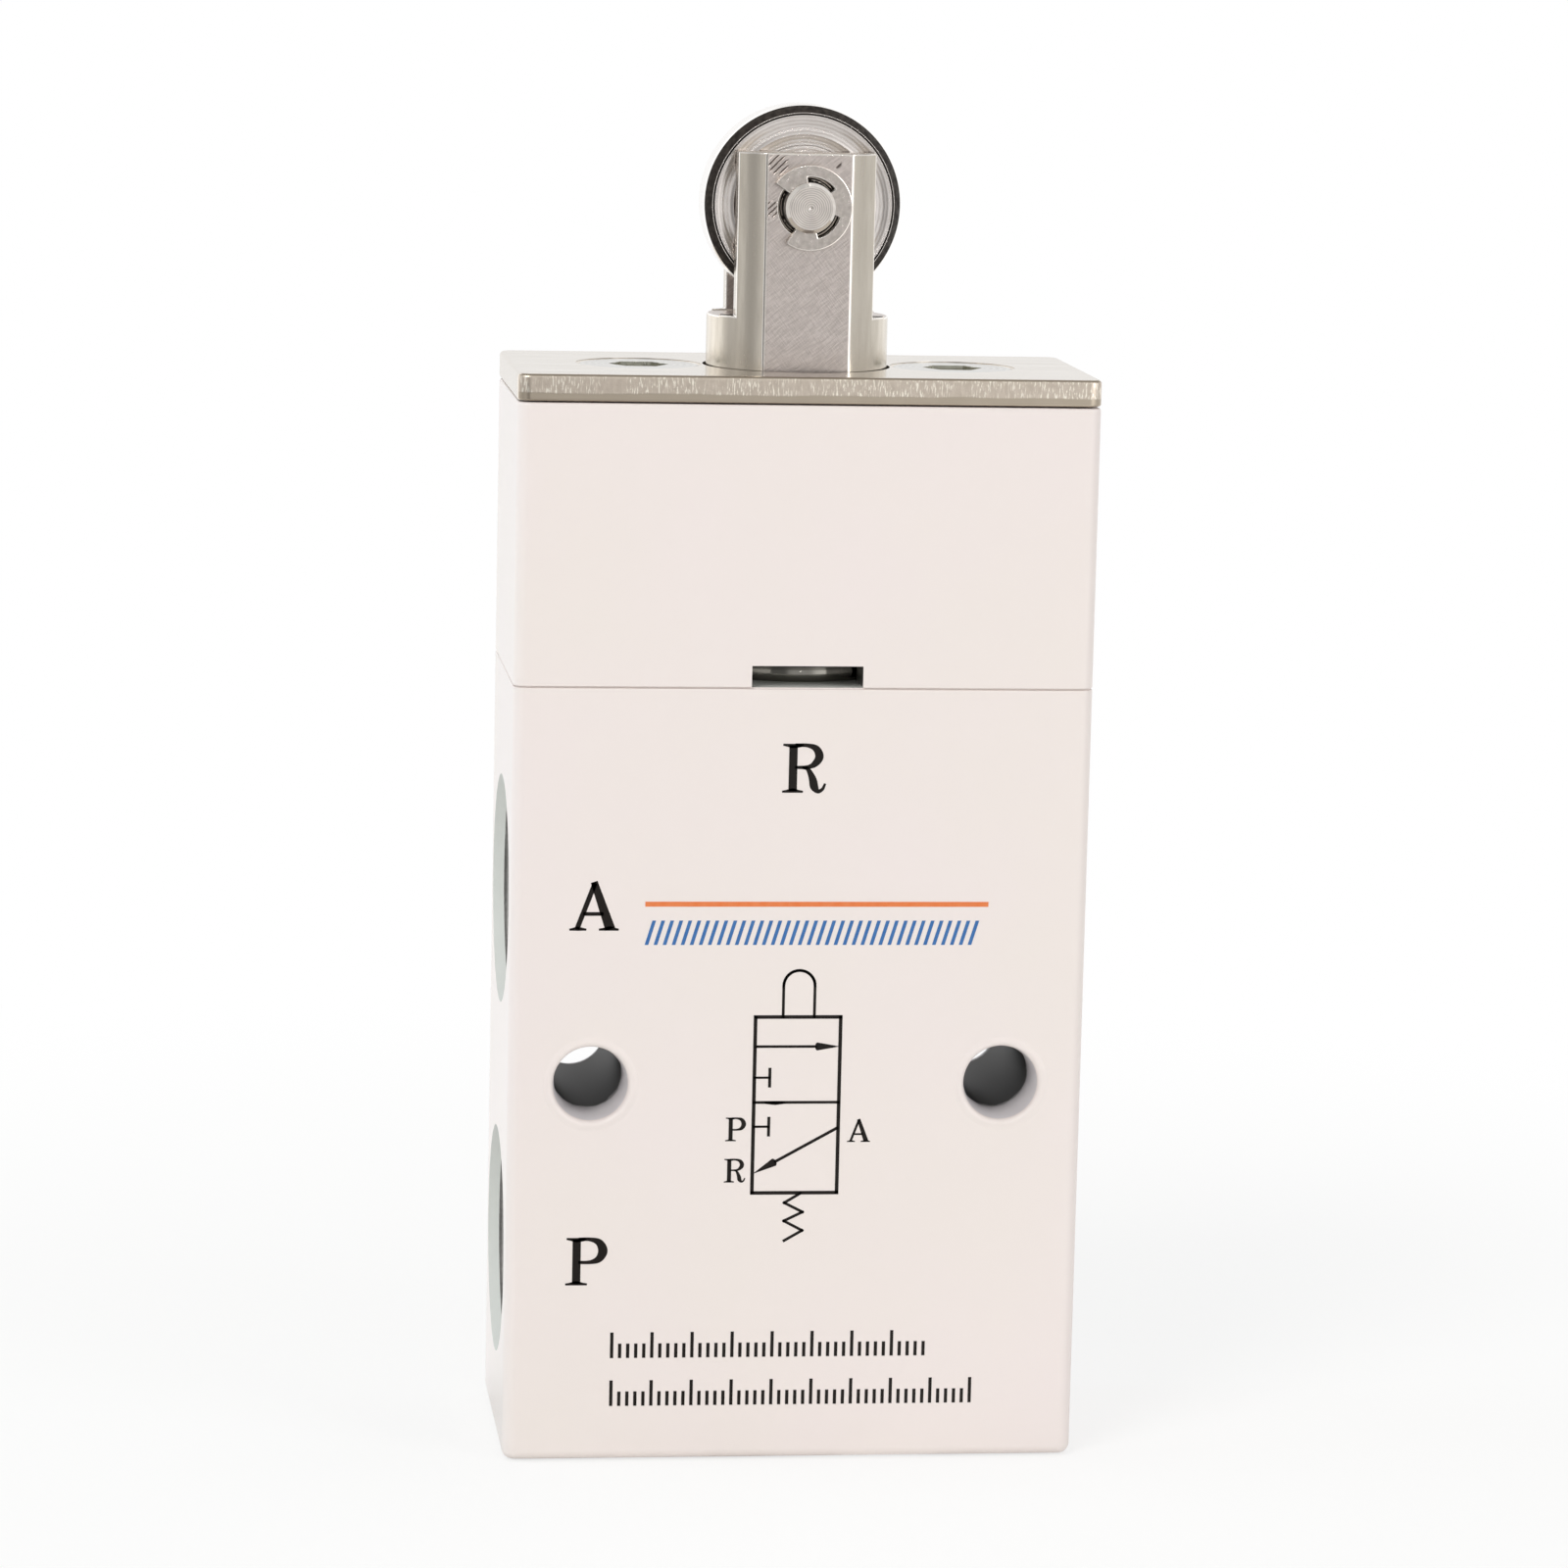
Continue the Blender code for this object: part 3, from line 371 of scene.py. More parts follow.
def painted_light_bore():
    """The wall of a mounting hole: pale near its mouths as painted light, reaching deepest from the front,
    and dark between as painted shade.
    """
    made, tree, place = new_material("painted_light_bore")
    across = add(tree, "ShaderNodeSeparateXYZ", {0: place}).outputs["Y"]
    breakup = add(tree, "ShaderNodeTexNoise", {"Vector": place, "Scale": per_mm(1.2), "Detail": 4.0})
    shift = add(tree, "ShaderNodeMath", {0: breakup, 1: 1.6 * MM}, operation="MULTIPLY")
    edge = add(tree, "ShaderNodeMath", {0: across, 1: shift}, operation="ADD")
    limits = {"Value": edge, "From Min": (0.7 - LIT_POOL_FROM) * MM, "From Max": (0.1 - LIT_POOL_FROM) * MM}
    front = add(tree, "ShaderNodeMapRange", limits)
    limits = {"Value": edge, "From Min": (0.8 + FAR_LIT_POOL_FROM) * MM, "From Max": (1.6 + FAR_LIT_POOL_FROM) * MM}
    back = add(tree, "ShaderNodeMapRange", limits)
    lit_mouths = add(tree, "ShaderNodeMath", {0: front, 1: back}, operation="MAXIMUM")
    # The pale tone is painted light near the mouths, the dark one painted shade deeper in
    inputs = {0: lit_mouths, 6: linear("#2A2725"), 7: linear("#DEDADC")}
    tone = add(tree, "ShaderNodeMix", inputs, data_type="RGBA")
    values = {"Base Color": tone, "Roughness": 0.5, "IOR": 1.5, "Specular IOR Level": 0.2}
    add(tree, "ShaderNodeOutputMaterial", {"Surface": add(tree, "ShaderNodeBsdfPrincipled", values)})
    return made


def link(name, data):
    obj = bpy.data.objects.new(name, data)
    bpy.context.scene.collection.objects.link(obj)
    return obj


def blank(name):
    """An object with an empty mesh of its name."""
    return link(name, bpy.data.meshes.new(name))


def delete(obj):
    bpy.data.objects.remove(obj, do_unlink=True)


def opened(*objects):
    """An edit mesh that holds these objects' meshes."""
    bm = bmesh.new()
    for obj in objects:
        bm.from_mesh(obj.data)
    return bm


def closed(bm, obj):
    """Writes an edit mesh into an object, frees it, and gives back the object."""
    bm.to_mesh(obj.data)
    bm.free()
    return obj


def settle(obj):
    """Applies an object's modifiers and gives back a plain mesh object of the same name."""
    name = obj.name
    bpy.context.view_layer.update()
    depsgraph = bpy.context.evaluated_depsgraph_get()
    mesh = bpy.data.meshes.new_from_object(obj.evaluated_get(depsgraph), depsgraph=depsgraph)
    place = obj.matrix_world.copy()
    obj.name = name + "_raw"
    made = link(name, mesh)
    mesh.transform(place)
    delete(obj)
    return made


def merged(obj, limit=WELD):
    """Welds a shape's doubled points and turns its faces outward."""
    bm = opened(obj)
    bmesh.ops.remove_doubles(bm, verts=bm.verts, dist=limit)
    bmesh.ops.recalc_face_normals(bm, faces=bm.faces)
    return closed(bm, obj)


def turned(name, profile, sides=SIDES, ring=False):
    """A turned solid about Z. The profile holds (radius, height) pairs, down its outer side."""
    count = len(profile)
    edges = [(i, (i + 1) % count) for i in range(count if ring else count - 1)]
    obj = blank(name)
    obj.data.from_pydata([(radius, 0, height) for radius, height in profile], edges, [])
    screw = obj.modifiers.new("turn", "SCREW")
    screw.steps = screw.render_steps = sides
    screw.use_merge_vertices = True
    screw.merge_threshold = 1e-5
    return merged(settle(obj))


def both_ways(side):
    """A turned profile that is the same below the middle as above it."""
    return side + [(radius, -height) for radius, height in reversed(side)]


def rod(name, radius, low, high, sides=SIDES):
    return turned(name, [(0, high), (radius, high), (radius, low), (0, low)], sides)


def placed(obj, at, turn=None):
    """Moves a shape's mesh. The turn points its own +Z along the named axis."""
    obj.data.transform(Matrix.Translation(at) @ TURNS[turn])
    return obj


def block(name, low, high):
    """A plain box between two opposite corners."""
    low, high = Vector(low), Vector(high)
    bm = bmesh.new()
    bmesh.ops.create_cube(bm, size=1)
    bmesh.ops.scale(bm, vec=high - low, verts=bm.verts)
    bmesh.ops.translate(bm, vec=(high + low) / 2, verts=bm.verts)
    return closed(bm, blank(name))


def round_level(bm, level, width, steps):
    """Rounds the edges that lie at one height."""
    edges = [e for e in bm.edges if all(abs(v.co.z - level) < 1e-4 for v in e.verts)]
    bmesh.ops.bevel(bm, geom=edges, offset=width, segments=steps, profile=0.5, affect="EDGES")


def rounded_block(name, low, high, low_round, high_round):
    """A box of the valve's width and depth, with every outer edge rounded."""
    obj = block(name, (-WIDTH / 2, -DEPTH / 2, low), (WIDTH / 2, DEPTH / 2, high))
    bm = opened(obj)
    upright = [e for e in bm.edges if abs(e.verts[0].co.z - e.verts[1].co.z) > (high - low) / 2]
    bmesh.ops.bevel(bm, geom=upright, offset=SIDE_ROUND, segments=8, profile=0.5, affect="EDGES")
    round_level(bm, low, low_round, 6)
    round_level(bm, high, high_round, 4)
    return closed(bm, obj)


def surfaced(obj, material):
    obj.data.materials.clear()
    obj.data.materials.append(material)
    return obj


def resurfaced(obj, material, picks):
    """Gives another material to the faces whose middle and normal a test picks."""
    obj.data.materials.append(material)
    for face in obj.data.polygons:
        if picks(face.center, face.normal):
            face.material_index = len(obj.data.materials) - 1
    return obj


def cut(obj, *cutters, operation="DIFFERENCE"):
    """Takes the cutters out of a shape, or unites them with it. New faces keep each cutter's own material."""
    for cutter in cutters:
        boolean = obj.modifiers.new("cut", "BOOLEAN")
        boolean.operation = operation
        boolean.solver = "EXACT"
        boolean.material_mode = "TRANSFER"
        boolean.object = cutter
    made = settle(obj)
    for cutter in cutters:
        delete(cutter)
    return made


def broken_edges(obj, width, above=SMOOTH_BELOW, edge=None):
    """Breaks a shape's sharp edges with a small round, which can have a material of its own."""
    bevel = obj.modifiers.new("edges", "BEVEL")
    bevel.width = width
    bevel.segments = 2
    bevel.limit_method = "ANGLE"
    bevel.angle_limit = above
    bevel.use_clamp_overlap = edge is None
    if edge:
        obj.data.materials.append(edge)
        bevel.material = len(obj.data.materials) - 1
    return settle(obj)


def flat_cutters(across, reach, low, high, axis):
    """Two boxes that leave a width across flats, along X (axis 0) or Y (axis 1)."""
    boxes = []
    for side in (-1, 1):
        near, far = sorted((side * across / 2, side * (reach + OVER)))
        corners = [[-reach - OVER, -reach - OVER, low], [reach + OVER, reach + OVER, high]]
        corners[0][axis], corners[1][axis] = near, far
        boxes.append(block("flat", *corners))
    return boxes


def finished(obj, body, replaces=(), material=None, sharp_above=SMOOTH_BELOW):
    """Scales a piece to metres, shades it, gives it its material if one is given, parents it to its body and
    hides the CAD nodes it replaces.
    """
    if material:
        surfaced(obj, material)
    mesh = obj.data
    mesh.transform(Matrix.Scale(MM, 4))
    mesh.shade_smooth()
    mesh.set_sharp_from_angle(angle=sharp_above)
    weighted = obj.modifiers.new("normals", "WEIGHTED_NORMAL")
    weighted.keep_sharp = True
    made = settle(obj)
    made.data.name = made.name
    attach(made, body)
    if replaces:
        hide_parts(*replaces)
    return made


def port_cutters(height, chamber):
    """A tapped socket in the left face with its passage to the chamber, and its painted lead-in."""
    cone = (PORT_RADIUS - PASSAGE_RADIUS) * tan(DRILL_POINT)
    end = -(WIDTH / 2 - sqrt(chamber**2 - PASSAGE_RADIUS**2) + OVER)
    profile = [(0, OVER), (PORT_RADIUS, OVER), (PORT_RADIUS, -PORT_DEPTH)]
    profile += [(PASSAGE_RADIUS, -PORT_DEPTH - cone)]
    profile += [(PASSAGE_RADIUS, end), (0, end)]
    wide = PORT_RADIUS + PORT_CHAMFER * (1 + OVER / PORT_LEAD)
    lead = [(0, OVER), (wide, OVER), (PORT_RADIUS, -PORT_LEAD), (0, -PORT_LEAD)]
    # The lead-in's enamel is greyed as painted shade
    shapes = (surfaced(turned("port", profile), ALLOY), surfaced(turned("lead", lead), SHADED_ENAMEL))
    return [placed(shape, (-WIDTH / 2, 0, height), "left") for shape in shapes]


def arc(radius, start, end, steps):
    angles = [start + (end - start) * i / steps for i in range(steps + 1)]
    return [(radius * cos(a), radius * sin(a)) for a in angles]


def mount_cutters(x):
    """A through hole that widens a little towards each end, and the rolled lip of paint around each mouth."""
    ends = DEPTH / 2 - MOUNT_LIP
    narrow = DEPTH / 2 - MOUNT_LEAD
    bore = both_ways([(0, DEPTH), (MOUNT_MOUTH, DEPTH), (MOUNT_MOUTH, ends), (MOUNT_RADIUS, narrow)])
    cutters = [surfaced(placed(turned("bore", bore), (x, 0, MOUNT_Z), "front"), BORE_LIGHT_AND_SHADE)]
    middle = MOUNT_MOUTH + MOUNT_LIP
    lip = [(0, DEPTH / 2 + 0.02), (middle + 0.23, DEPTH / 2 + 0.02)]
    lip += [(middle - u, ends + v) for v, u in arc(MOUNT_LIP, radians(8), radians(90), 6)]
    lip += [(0, ends)]
    for side in (-1, 1):
        profile = [(radius, side * height) for radius, height in lip]
        shape = turned("lip", profile if side > 0 else profile[::-1])
        cutters.append(surfaced(placed(shape, (x, 0, MOUNT_Z), "front"), PAINT))
    return cutters


def mount_beads(x):
    """The low rounded bead that the paint forms around both mouths of a mounting hole."""
    face = DEPTH / 2
    wave = [(2.36, -0.02), (2.42, 0.04), (2.5, 0.08), (2.58, 0.085), (2.7, 0.055), (2.84, 0.018)]
    wave += [(2.95, -0.01)]
    beads = []
    for side in (-1, 1):
        outline = [(radius, side * (face + height)) for radius, height in wave]
        outline += [(2.9, side * (face - 0.1)), (2.45, side * (face - 0.1))]
        shape = turned("bead", outline if side > 0 else outline[::-1], ring=True)
        beads.append(surfaced(placed(shape, (x, 0, MOUNT_Z), "front"), PAINT))
    return beads


def screw_spaces(material):
    """The two stepped holes that the plate screws pass through."""
    head, shank = SCREW_HEAD + SCREW_CLEARANCE, SCREW_RADIUS + SCREW_CLEARANCE
    top, tip = PLATE_TOP + OVER, SCREW_TIP - 0.4
    outline = [(0, top), (head, top), (head, SCREW_FACE), (shank, SCREW_FACE - (head - shank))]
    outline += [(shank, tip), (0, tip)]
    spaces = [placed(turned("space", outline, 64), (side * SCREW_X, 0, 0)) for side in (-1, 1)]
    return [surfaced(space, material) for space in spaces]


def chamber_cutter():
    """The upper bore, the seat with its lip, the lower bore and the circlip's groove."""
    radius, low, high = CLIP_GROOVE
    lip = SEAT_RADIUS + 0.6
    profile = [(0, BODY_TOP + OVER), (UPPER_BORE, BODY_TOP + OVER), (UPPER_BORE, SEAT_HIGH)]
    profile += [(SEAT_RADIUS, SEAT_HIGH), (SEAT_RADIUS, SEAT_LOW), (lip, SEAT_LOW), (lip, SEAT_LOW + 0.4)]
    profile += [(LOWER_BORE, SEAT_LOW + 0.4), (LOWER_BORE, high), (radius, high), (radius, low)]
    profile += [(LOWER_BORE, low), (LOWER_BORE, -OVER), (0, -OVER)]
    return surfaced(turned("chambers", profile), ALLOY)


def raised_top(obj, level):
    """Lifts the middle of a block's top face, which leaves a shallow painted groove around the joint."""
    bm = opened(obj)
    top = max((face for face in bm.faces if face.normal.z > 0.9), key=lambda face: face.calc_area())
    bmesh.ops.inset_region(bm, faces=[top], thickness=JOINT_INSET, depth=0)
    bmesh.ops.inset_region(bm, faces=[top], thickness=0.005, depth=JOINT_RISE)
    top.material_index = level
    return closed(bm, obj)


def valve_body():
    """The painted block with its chambers, two ports, two mounting holes and the screws' holes."""
    obj = surfaced(rounded_block("valve_block", 0, BODY_TOP, BOTTOM_ROUND, JOINT_BREAK), PAINT)
    # The joint's face is greyed as painted shade
    obj.data.materials.append(SHADED_ENAMEL)
    obj = raised_top(obj, 1)
    cutters = [chamber_cutter()]
    for height, chamber in zip(PORT_HEIGHTS, (UPPER_BORE, LOWER_BORE)):
        cutters += port_cutters(height, chamber)
    cutters += mount_cutters(-MOUNT_X) + mount_cutters(MOUNT_X) + screw_spaces(ALLOY)
    obj = cut(obj, *cutters)
    obj = cut(obj, *mount_beads(-MOUNT_X), *mount_beads(MOUNT_X), operation="UNION")
    finished(obj, "valve", ["valve_body"])


def upper_housing():
    """The cover with the pocket that guides the fork, and the exhaust notch in its front."""
    obj = surfaced(rounded_block("housing_block", HOUSING_LOW, HOUSING_TOP, JOINT_BREAK, EDGE_BREAK), PAINT)
    pocket = rod("pocket", POCKET_RADIUS, POCKET_LOW, HOUSING_TOP + OVER)
    flats = flat_cutters(POCKET_FLATS, POCKET_RADIUS, POCKET_LOW - OVER, HOUSING_TOP + 2 * OVER, 1)
    pocket = cut(pocket, *flats)
    bore = rod("bore", HOUSING_BORE, HOUSING_LOW - OVER, POCKET_LOW + 0.5)
    left, right, top = NOTCH
    notch = block("notch", (left, FRONT - OVER, HOUSING_LOW - OVER), (right, -4.7, top))
    cutters = [surfaced(cutter, ALLOY) for cutter in (pocket, bore, notch)]
    obj = cut(obj, *cutters, *screw_spaces(ALLOY))
    finished(obj, "valve", ["upper_housing"])


def top_plate():
    """The cover plate: rolled faces, and cut edges with a smooth sheared band below a torn one."""
    obj = surfaced(rounded_block("cover_plate", PLATE_LOW, PLATE_TOP, EDGE_BREAK, PLATE_ROUND), NICKEL_ROLLED)
    hole = surfaced(rod("hole", FORK_RADIUS + 0.2, PLATE_LOW - OVER, PLATE_TOP + OVER), NICKEL_ROLLED)
    obj = cut(obj, hole, *screw_spaces(NICKEL_ROLLED))
    rim = DEPTH / 2 - SIDE_ROUND
    resurfaced(obj, NICKEL_SHEARED, lambda at, out: abs(at.y) > rim and abs(out.z) < 0.9 and abs(out.y) > 0.3)
    finished(obj, "valve", ["top_plate"])


def new_tree(name, inputs):
    """An empty Geometry Nodes tree with named inputs of each kind, and their sockets in it."""
    tree = bpy.data.node_groups.new(name, "GeometryNodeTree")
    tree.interface.new_socket("Geometry", in_out="OUTPUT", socket_type="NodeSocketGeometry")
    for kind, titles in inputs.items():
        for title in titles:
            tree.interface.new_socket(title, in_out="INPUT", socket_type="NodeSocket" + kind)
    return tree, tree.nodes.new("NodeGroupInput").outputs


def helix_tree():
    """A sweep along a helix about Z. The pitch of its first and last turn can differ from the rest."""
    sizes = ["Radius", "Turns", "Bottom", "Pitch", "End Pitch", "End Taper"]
    sizes += ["Base Width", "Crest Width", "Crest Height", "Wire Radius"]
    tree, given = new_tree("helix", {"Float": sizes, "Int": ["Points"], "Material": ["Material"]})
    line = add(tree, "GeometryNodeCurvePrimitiveLine", {"Start": (0, 0, 0), "End": (0, 0, 1)})
    line = add(tree, "GeometryNodeResampleCurve", {"Curve": line, "Count": given["Points"]})
    values = {socket.name: socket for socket in given if socket.name}
    values["along"] = add(tree, "GeometryNodeSplineParameter")
    steps = [
        ("turn", "MULTIPLY", "along", "Turns"),
        ("angle", "MULTIPLY", "turn", 2 * pi),
        ("inner turns", "SUBTRACT", "Turns", 2.0),
        ("turns past the first", "SUBTRACT", "turn", 1.0),
        ("turns past it or none", "MAXIMUM", "turns past the first", 0.0),
        ("open turns", "MINIMUM", "turns past it or none", "inner turns"),
        ("end turns", "SUBTRACT", "turn", "open turns"),
        ("end rise", "MULTIPLY", "end turns", "End Pitch"),
        ("open rise", "MULTIPLY", "open turns", "Pitch"),
        ("rise", "ADD", "open rise", "end rise"),
        ("z", "ADD", "rise", "Bottom"),
        ("cosine", "COSINE", "angle", 0.0),
        ("sine", "SINE", "angle", 0.0),
        ("x", "MULTIPLY", "cosine", "Radius"),
        ("y", "MULTIPLY", "sine", "Radius"),
        ("turns left", "SUBTRACT", "Turns", "turn"),
        ("turns to an end", "MINIMUM", "turn", "turns left"),
        ("taper", "MAXIMUM", "End Taper", 0.001),
        ("taper's share", "DIVIDE", "turns to an end", "taper"),
        ("whole at most", "MINIMUM", "taper's share", 1.0),
        ("fade", "MAXIMUM", "whole at most", 0.02),
        ("is wire", "GREATER_THAN", "Wire Radius", 0.0),
        ("half crest", "MULTIPLY", "Crest Height", 0.5),
    ]
    for name, operation, first, second in steps:
        inputs = {0: values[first], 1: values.get(second, second)}
        values[name] = add(tree, "ShaderNodeMath", inputs, operation=operation)
    point = add(tree, "ShaderNodeCombineXYZ", {"X": values["x"], "Y": values["y"], "Z": values["z"]})
    helix = add(tree, "GeometryNodeSetPosition", {"Geometry": line, "Position": point})
    tapered = add(tree, "GeometryNodeSetCurveRadius", {"Curve": helix, "Radius": values["fade"]})
    upright = add(tree, "GeometryNodeSetCurveNormal", {"Curve": tapered}, mode="Z_UP")
    widths = {1: 1.0, 2: given["Base Width"], 3: given["Crest Width"], 4: 0.0}
    ridge = add(tree, "GeometryNodeCurvePrimitiveQuadrilateral", widths, mode="TRAPEZOID")
    outwards = add(tree, "ShaderNodeCombineXYZ", {"X": values["half crest"]})
    tall = add(tree, "ShaderNodeCombineXYZ", {"X": 1.0, "Y": given["Crest Height"], "Z": 1.0})
    move = {"Geometry": ridge, "Translation": outwards, "Rotation": (0, 0, -pi / 2), "Scale": tall}
    ridge = add(tree, "GeometryNodeTransform", move)
    wire = add(tree, "GeometryNodeCurvePrimitiveCircle", {"Resolution": 16, "Radius": given["Wire Radius"]})
    inputs = {0: values["is wire"], 1: ridge, 2: wire}
    section = add(tree, "GeometryNodeSwitch", inputs, input_type="GEOMETRY")
    sweep = {"Curve": upright, "Profile Curve": section, "Fill Caps": True}
    sweep["Scale"] = add(tree, "GeometryNodeInputRadius")
    swept = add(tree, "GeometryNodeCurveToMesh", sweep)
    dressed = add(tree, "GeometryNodeSetMaterial", {"Geometry": swept, "Material": given["Material"]})
    add(tree, "NodeGroupOutput", {0: add(tree, "GeometryNodeRealizeInstances", {"Geometry": dressed})})
    return tree


def generated(name, tree, **values):
    """A piece that a node tree makes, as a plain mesh."""
    obj = blank(name)
    modifier = obj.modifiers.new("made", "NODES")
    modifier.node_group = tree
    names = {item.name: item.identifier for item in tree.interface.items_tree if item.in_out == "INPUT"}
    for key, value in values.items():
        modifier[names[key.replace("_", " ")]] = value
    return merged(settle(obj))


def plate_screw(node, side):
    """A countersunk screw with a hexagon socket and a thread below its head."""
    root = SCREW_RADIUS - 0.61 * SCREW_PITCH
    neck = SCREW_FACE - (SCREW_HEAD - SCREW_RADIUS)
    profile = [(0, SCREW_FACE), (SCREW_HEAD - 0.14, SCREW_FACE), (SCREW_HEAD - 0.06, SCREW_FACE - 0.06)]
    profile += [(SCREW_RADIUS, neck), (SCREW_RADIUS, neck - 1.0), (root, neck - 1.4)]
    profile += [(root, SCREW_TIP + 0.3), (root - 0.3, SCREW_TIP), (0, SCREW_TIP)]
    obj = surfaced(turned(node + "_turned", profile), ZINC[side])
    key = rod("key", KEY_FLATS / sqrt(3), SCREW_FACE - KEY_DEPTH, SCREW_FACE + OVER, 6)
    top, bottom = SCREW_FACE + OVER, SCREW_FACE - KEY_MOUTH
    mouth = turned("mouth", [(0, top), (KEY_MOUTH + OVER, top), (0, bottom)], 64)
    obj = cut(obj, surfaced(key, SOCKET_STEEL), surfaced(mouth, SOCKET_STEEL))
    thread = generated(
        node + "_thread", HELIX, Radius=root - 0.03, Turns=(neck - 1.2 - SCREW_TIP) / SCREW_PITCH,
        Bottom=SCREW_TIP + 0.2, Pitch=SCREW_PITCH, End_Pitch=SCREW_PITCH, End_Taper=0.6,
        Base_Width=0.85 * SCREW_PITCH, Crest_Width=0.12 * SCREW_PITCH,
        Crest_Height=SCREW_RADIUS - root + 0.03, Points=1100,
    )
    obj = closed(opened(obj, thread), obj)
    delete(thread)
    finished(placed(obj, (side * SCREW_X, 0, 0)), "valve", [node])


def roller_fork():
    """Turned from bar, then milled: flats, sides, and a slot that leaves an ear at each end of the pin."""
    profile = [(0, EAR_TOP), (FORK_RADIUS, EAR_TOP), (FORK_RADIUS, FLANGE_TOP), (FLANGE_RADIUS, FLANGE_TOP)]
    profile += [(FLANGE_RADIUS, FLANGE_LOW), (0, FLANGE_LOW)]
    obj = surfaced(turned("fork_turned", profile, 128), NICKEL_TURNED)
    over, under = EAR_TOP + OVER, FLANGE_LOW - OVER
    reach = FORK_RADIUS + OVER
    cutters = flat_cutters(FORK_FLATS, FLANGE_RADIUS, under, over, 1)
    cutters += [rod("socket", STEM_RADIUS + 0.06, under, STEM_TOP + 0.1)]
    cutters += [placed(rod("pin_hole", PIN_RADIUS + 0.06, -reach, reach), AT_PIN, "front")]
    cutters += [block("slot", (-reach, -SLOT_WIDTH / 2, SLOT_LOW), (reach, SLOT_WIDTH / 2, over))]
    for cutter in cutters:
        surfaced(cutter, NICKEL_MILLED)
    for side in (-1, 1):
        near, far = sorted((side * (FORK_FLATS / 2 - 0.6), side * reach))
        # The hollows around the pin's ends are dark with painted shade
        cutters.append(surfaced(placed(rod("relief", 1.84, near, far, 64), AT_PIN, "front"), SHADE_STEEL))
    sides = flat_cutters(EAR_WIDTH, FORK_RADIUS, EAR_LOW, over, 0)
    for cutter in sides:
        surfaced(cutter, NICKEL_TURNED)
    # The fork's edge rounds carry a painted highlight
    obj = broken_edges(cut(obj, *cutters, *sides), 0.09, above=radians(20), edge=EDGE_HIGHLIGHT)
    finished(obj, "plunger", ["roller_fork"])


def roller():
    """A turned wheel: a hub about the bush, a shallow web, a groove near its rim darkened with painted shade,
    and a steep chamfer.
    """
    half, web = ROLLER_WIDTH / 2, ROLLER_WIDTH / 2 - 0.05
    bore = BUSH_OUTER + 0.06
    side = [(bore, half - 0.08), (bore + 0.08, half), (2.84, half), (2.9, half - 0.04), (2.9, web)]
    side += [(3.5, web), (3.53, web - 0.02), (3.57, web - 0.02), (3.6, web)]
    side += [(4.16, web), (4.2, web + 0.015), (4.26, web + 0.015), (4.3, web), (4.9, web), (5.06, half)]
    side += [(5.37, half), (5.38, half - 0.14), (5.47, half - 0.14), (5.48, half - 0.01), (5.52, half - 0.01)]
    side += [(5.93, half - 0.55), (6.0, half - 0.7)]
    obj = surfaced(turned("roller_wheel", both_ways(side), 192, ring=True), ROLLER_STEEL)
    tread, groove = 5.95, 5.371
    # The outer edge's lighter steel is partly a painted highlight
    resurfaced(obj, GROUND_AND_HIGHLIGHT_STEEL, lambda at, out: hypot(at.x, at.y) > tread)
    sunk = half - 0.02
    # The groove near the rim is dark with painted shade
    resurfaced(obj, SHADE_STEEL, lambda at, out: groove < hypot(at.x, at.y) <= tread and abs(at.z) < sunk)
    finished(placed(obj, AT_PIN, "front"), "roller", ["roller"], None, radians(24))


def roller_bush():
    half = ROLLER_WIDTH / 2
    side = [(BUSH_INNER, half - 0.1), (BUSH_INNER + 0.1, half), (BUSH_OUTER - 0.06, half)]
    side += [(BUSH_OUTER, half - 0.06)]
    obj = placed(turned("bush_in_roller", both_ways(side), ring=True), AT_PIN, "front")
    finished(obj, "roller", ["roller_bush"], BRONZE)


def roller_pin():
    """The pin, chamfered at both ends and left with the lathe's small centre mark."""
    groove, near, far = PIN_GROOVE
    side = [(0, PIN_HALF - 0.07), (0.12, PIN_HALF), (PIN_RADIUS - 0.2, PIN_HALF)]
    side += [(PIN_RADIUS, PIN_HALF - 0.2)]
    side += [(PIN_RADIUS, far), (groove, far), (groove, near), (PIN_RADIUS, near)]
    obj = surfaced(turned("pin_turned", both_ways(side)), PIN_STEEL)
    end, rim = PIN_HALF - 0.2, PIN_RADIUS - 0.15
    # The pin's chamfer ring is a painted highlight
    resurfaced(obj, EDGE_HIGHLIGHT, lambda at, out: abs(at.z) > end and hypot(at.x, at.y) > rim)
    finished(placed(obj, AT_PIN, "front"), "plunger", ["roller_pin"], None, radians(24))


def stamped(name, points, thickness):
    """A flat part cut from sheet. The points run once around its outline."""
    bm = bmesh.new()
    low = [bm.verts.new((x, y, -thickness / 2)) for x, y in points]
    high = [bm.verts.new((x, y, thickness / 2)) for x, y in points]
    bm.faces.new(high)
    bm.faces.new(low[::-1])
    count = len(points)
    for i in range(count):
        after = (i + 1) % count
        bm.faces.new((low[i], low[after], high[after], high[i]))
    return merged(closed(bm, blank(name)))


def split_ring(name, outer, zones, direction, thickness):
    """A flat ring with a mouth. The zones give its inner radius over angles counted from the mouth."""
    mouth = zones[0][0]
    points = arc(outer, direction + mouth, direction + 2 * pi - mouth, 72)
    for start, end, radius in reversed(zones):
        steps = max(6, round(72 * (end - start) / (2 * pi)))
        points += arc(radius, direction + end, direction + start, steps)
    return stamped(name, points, thickness)


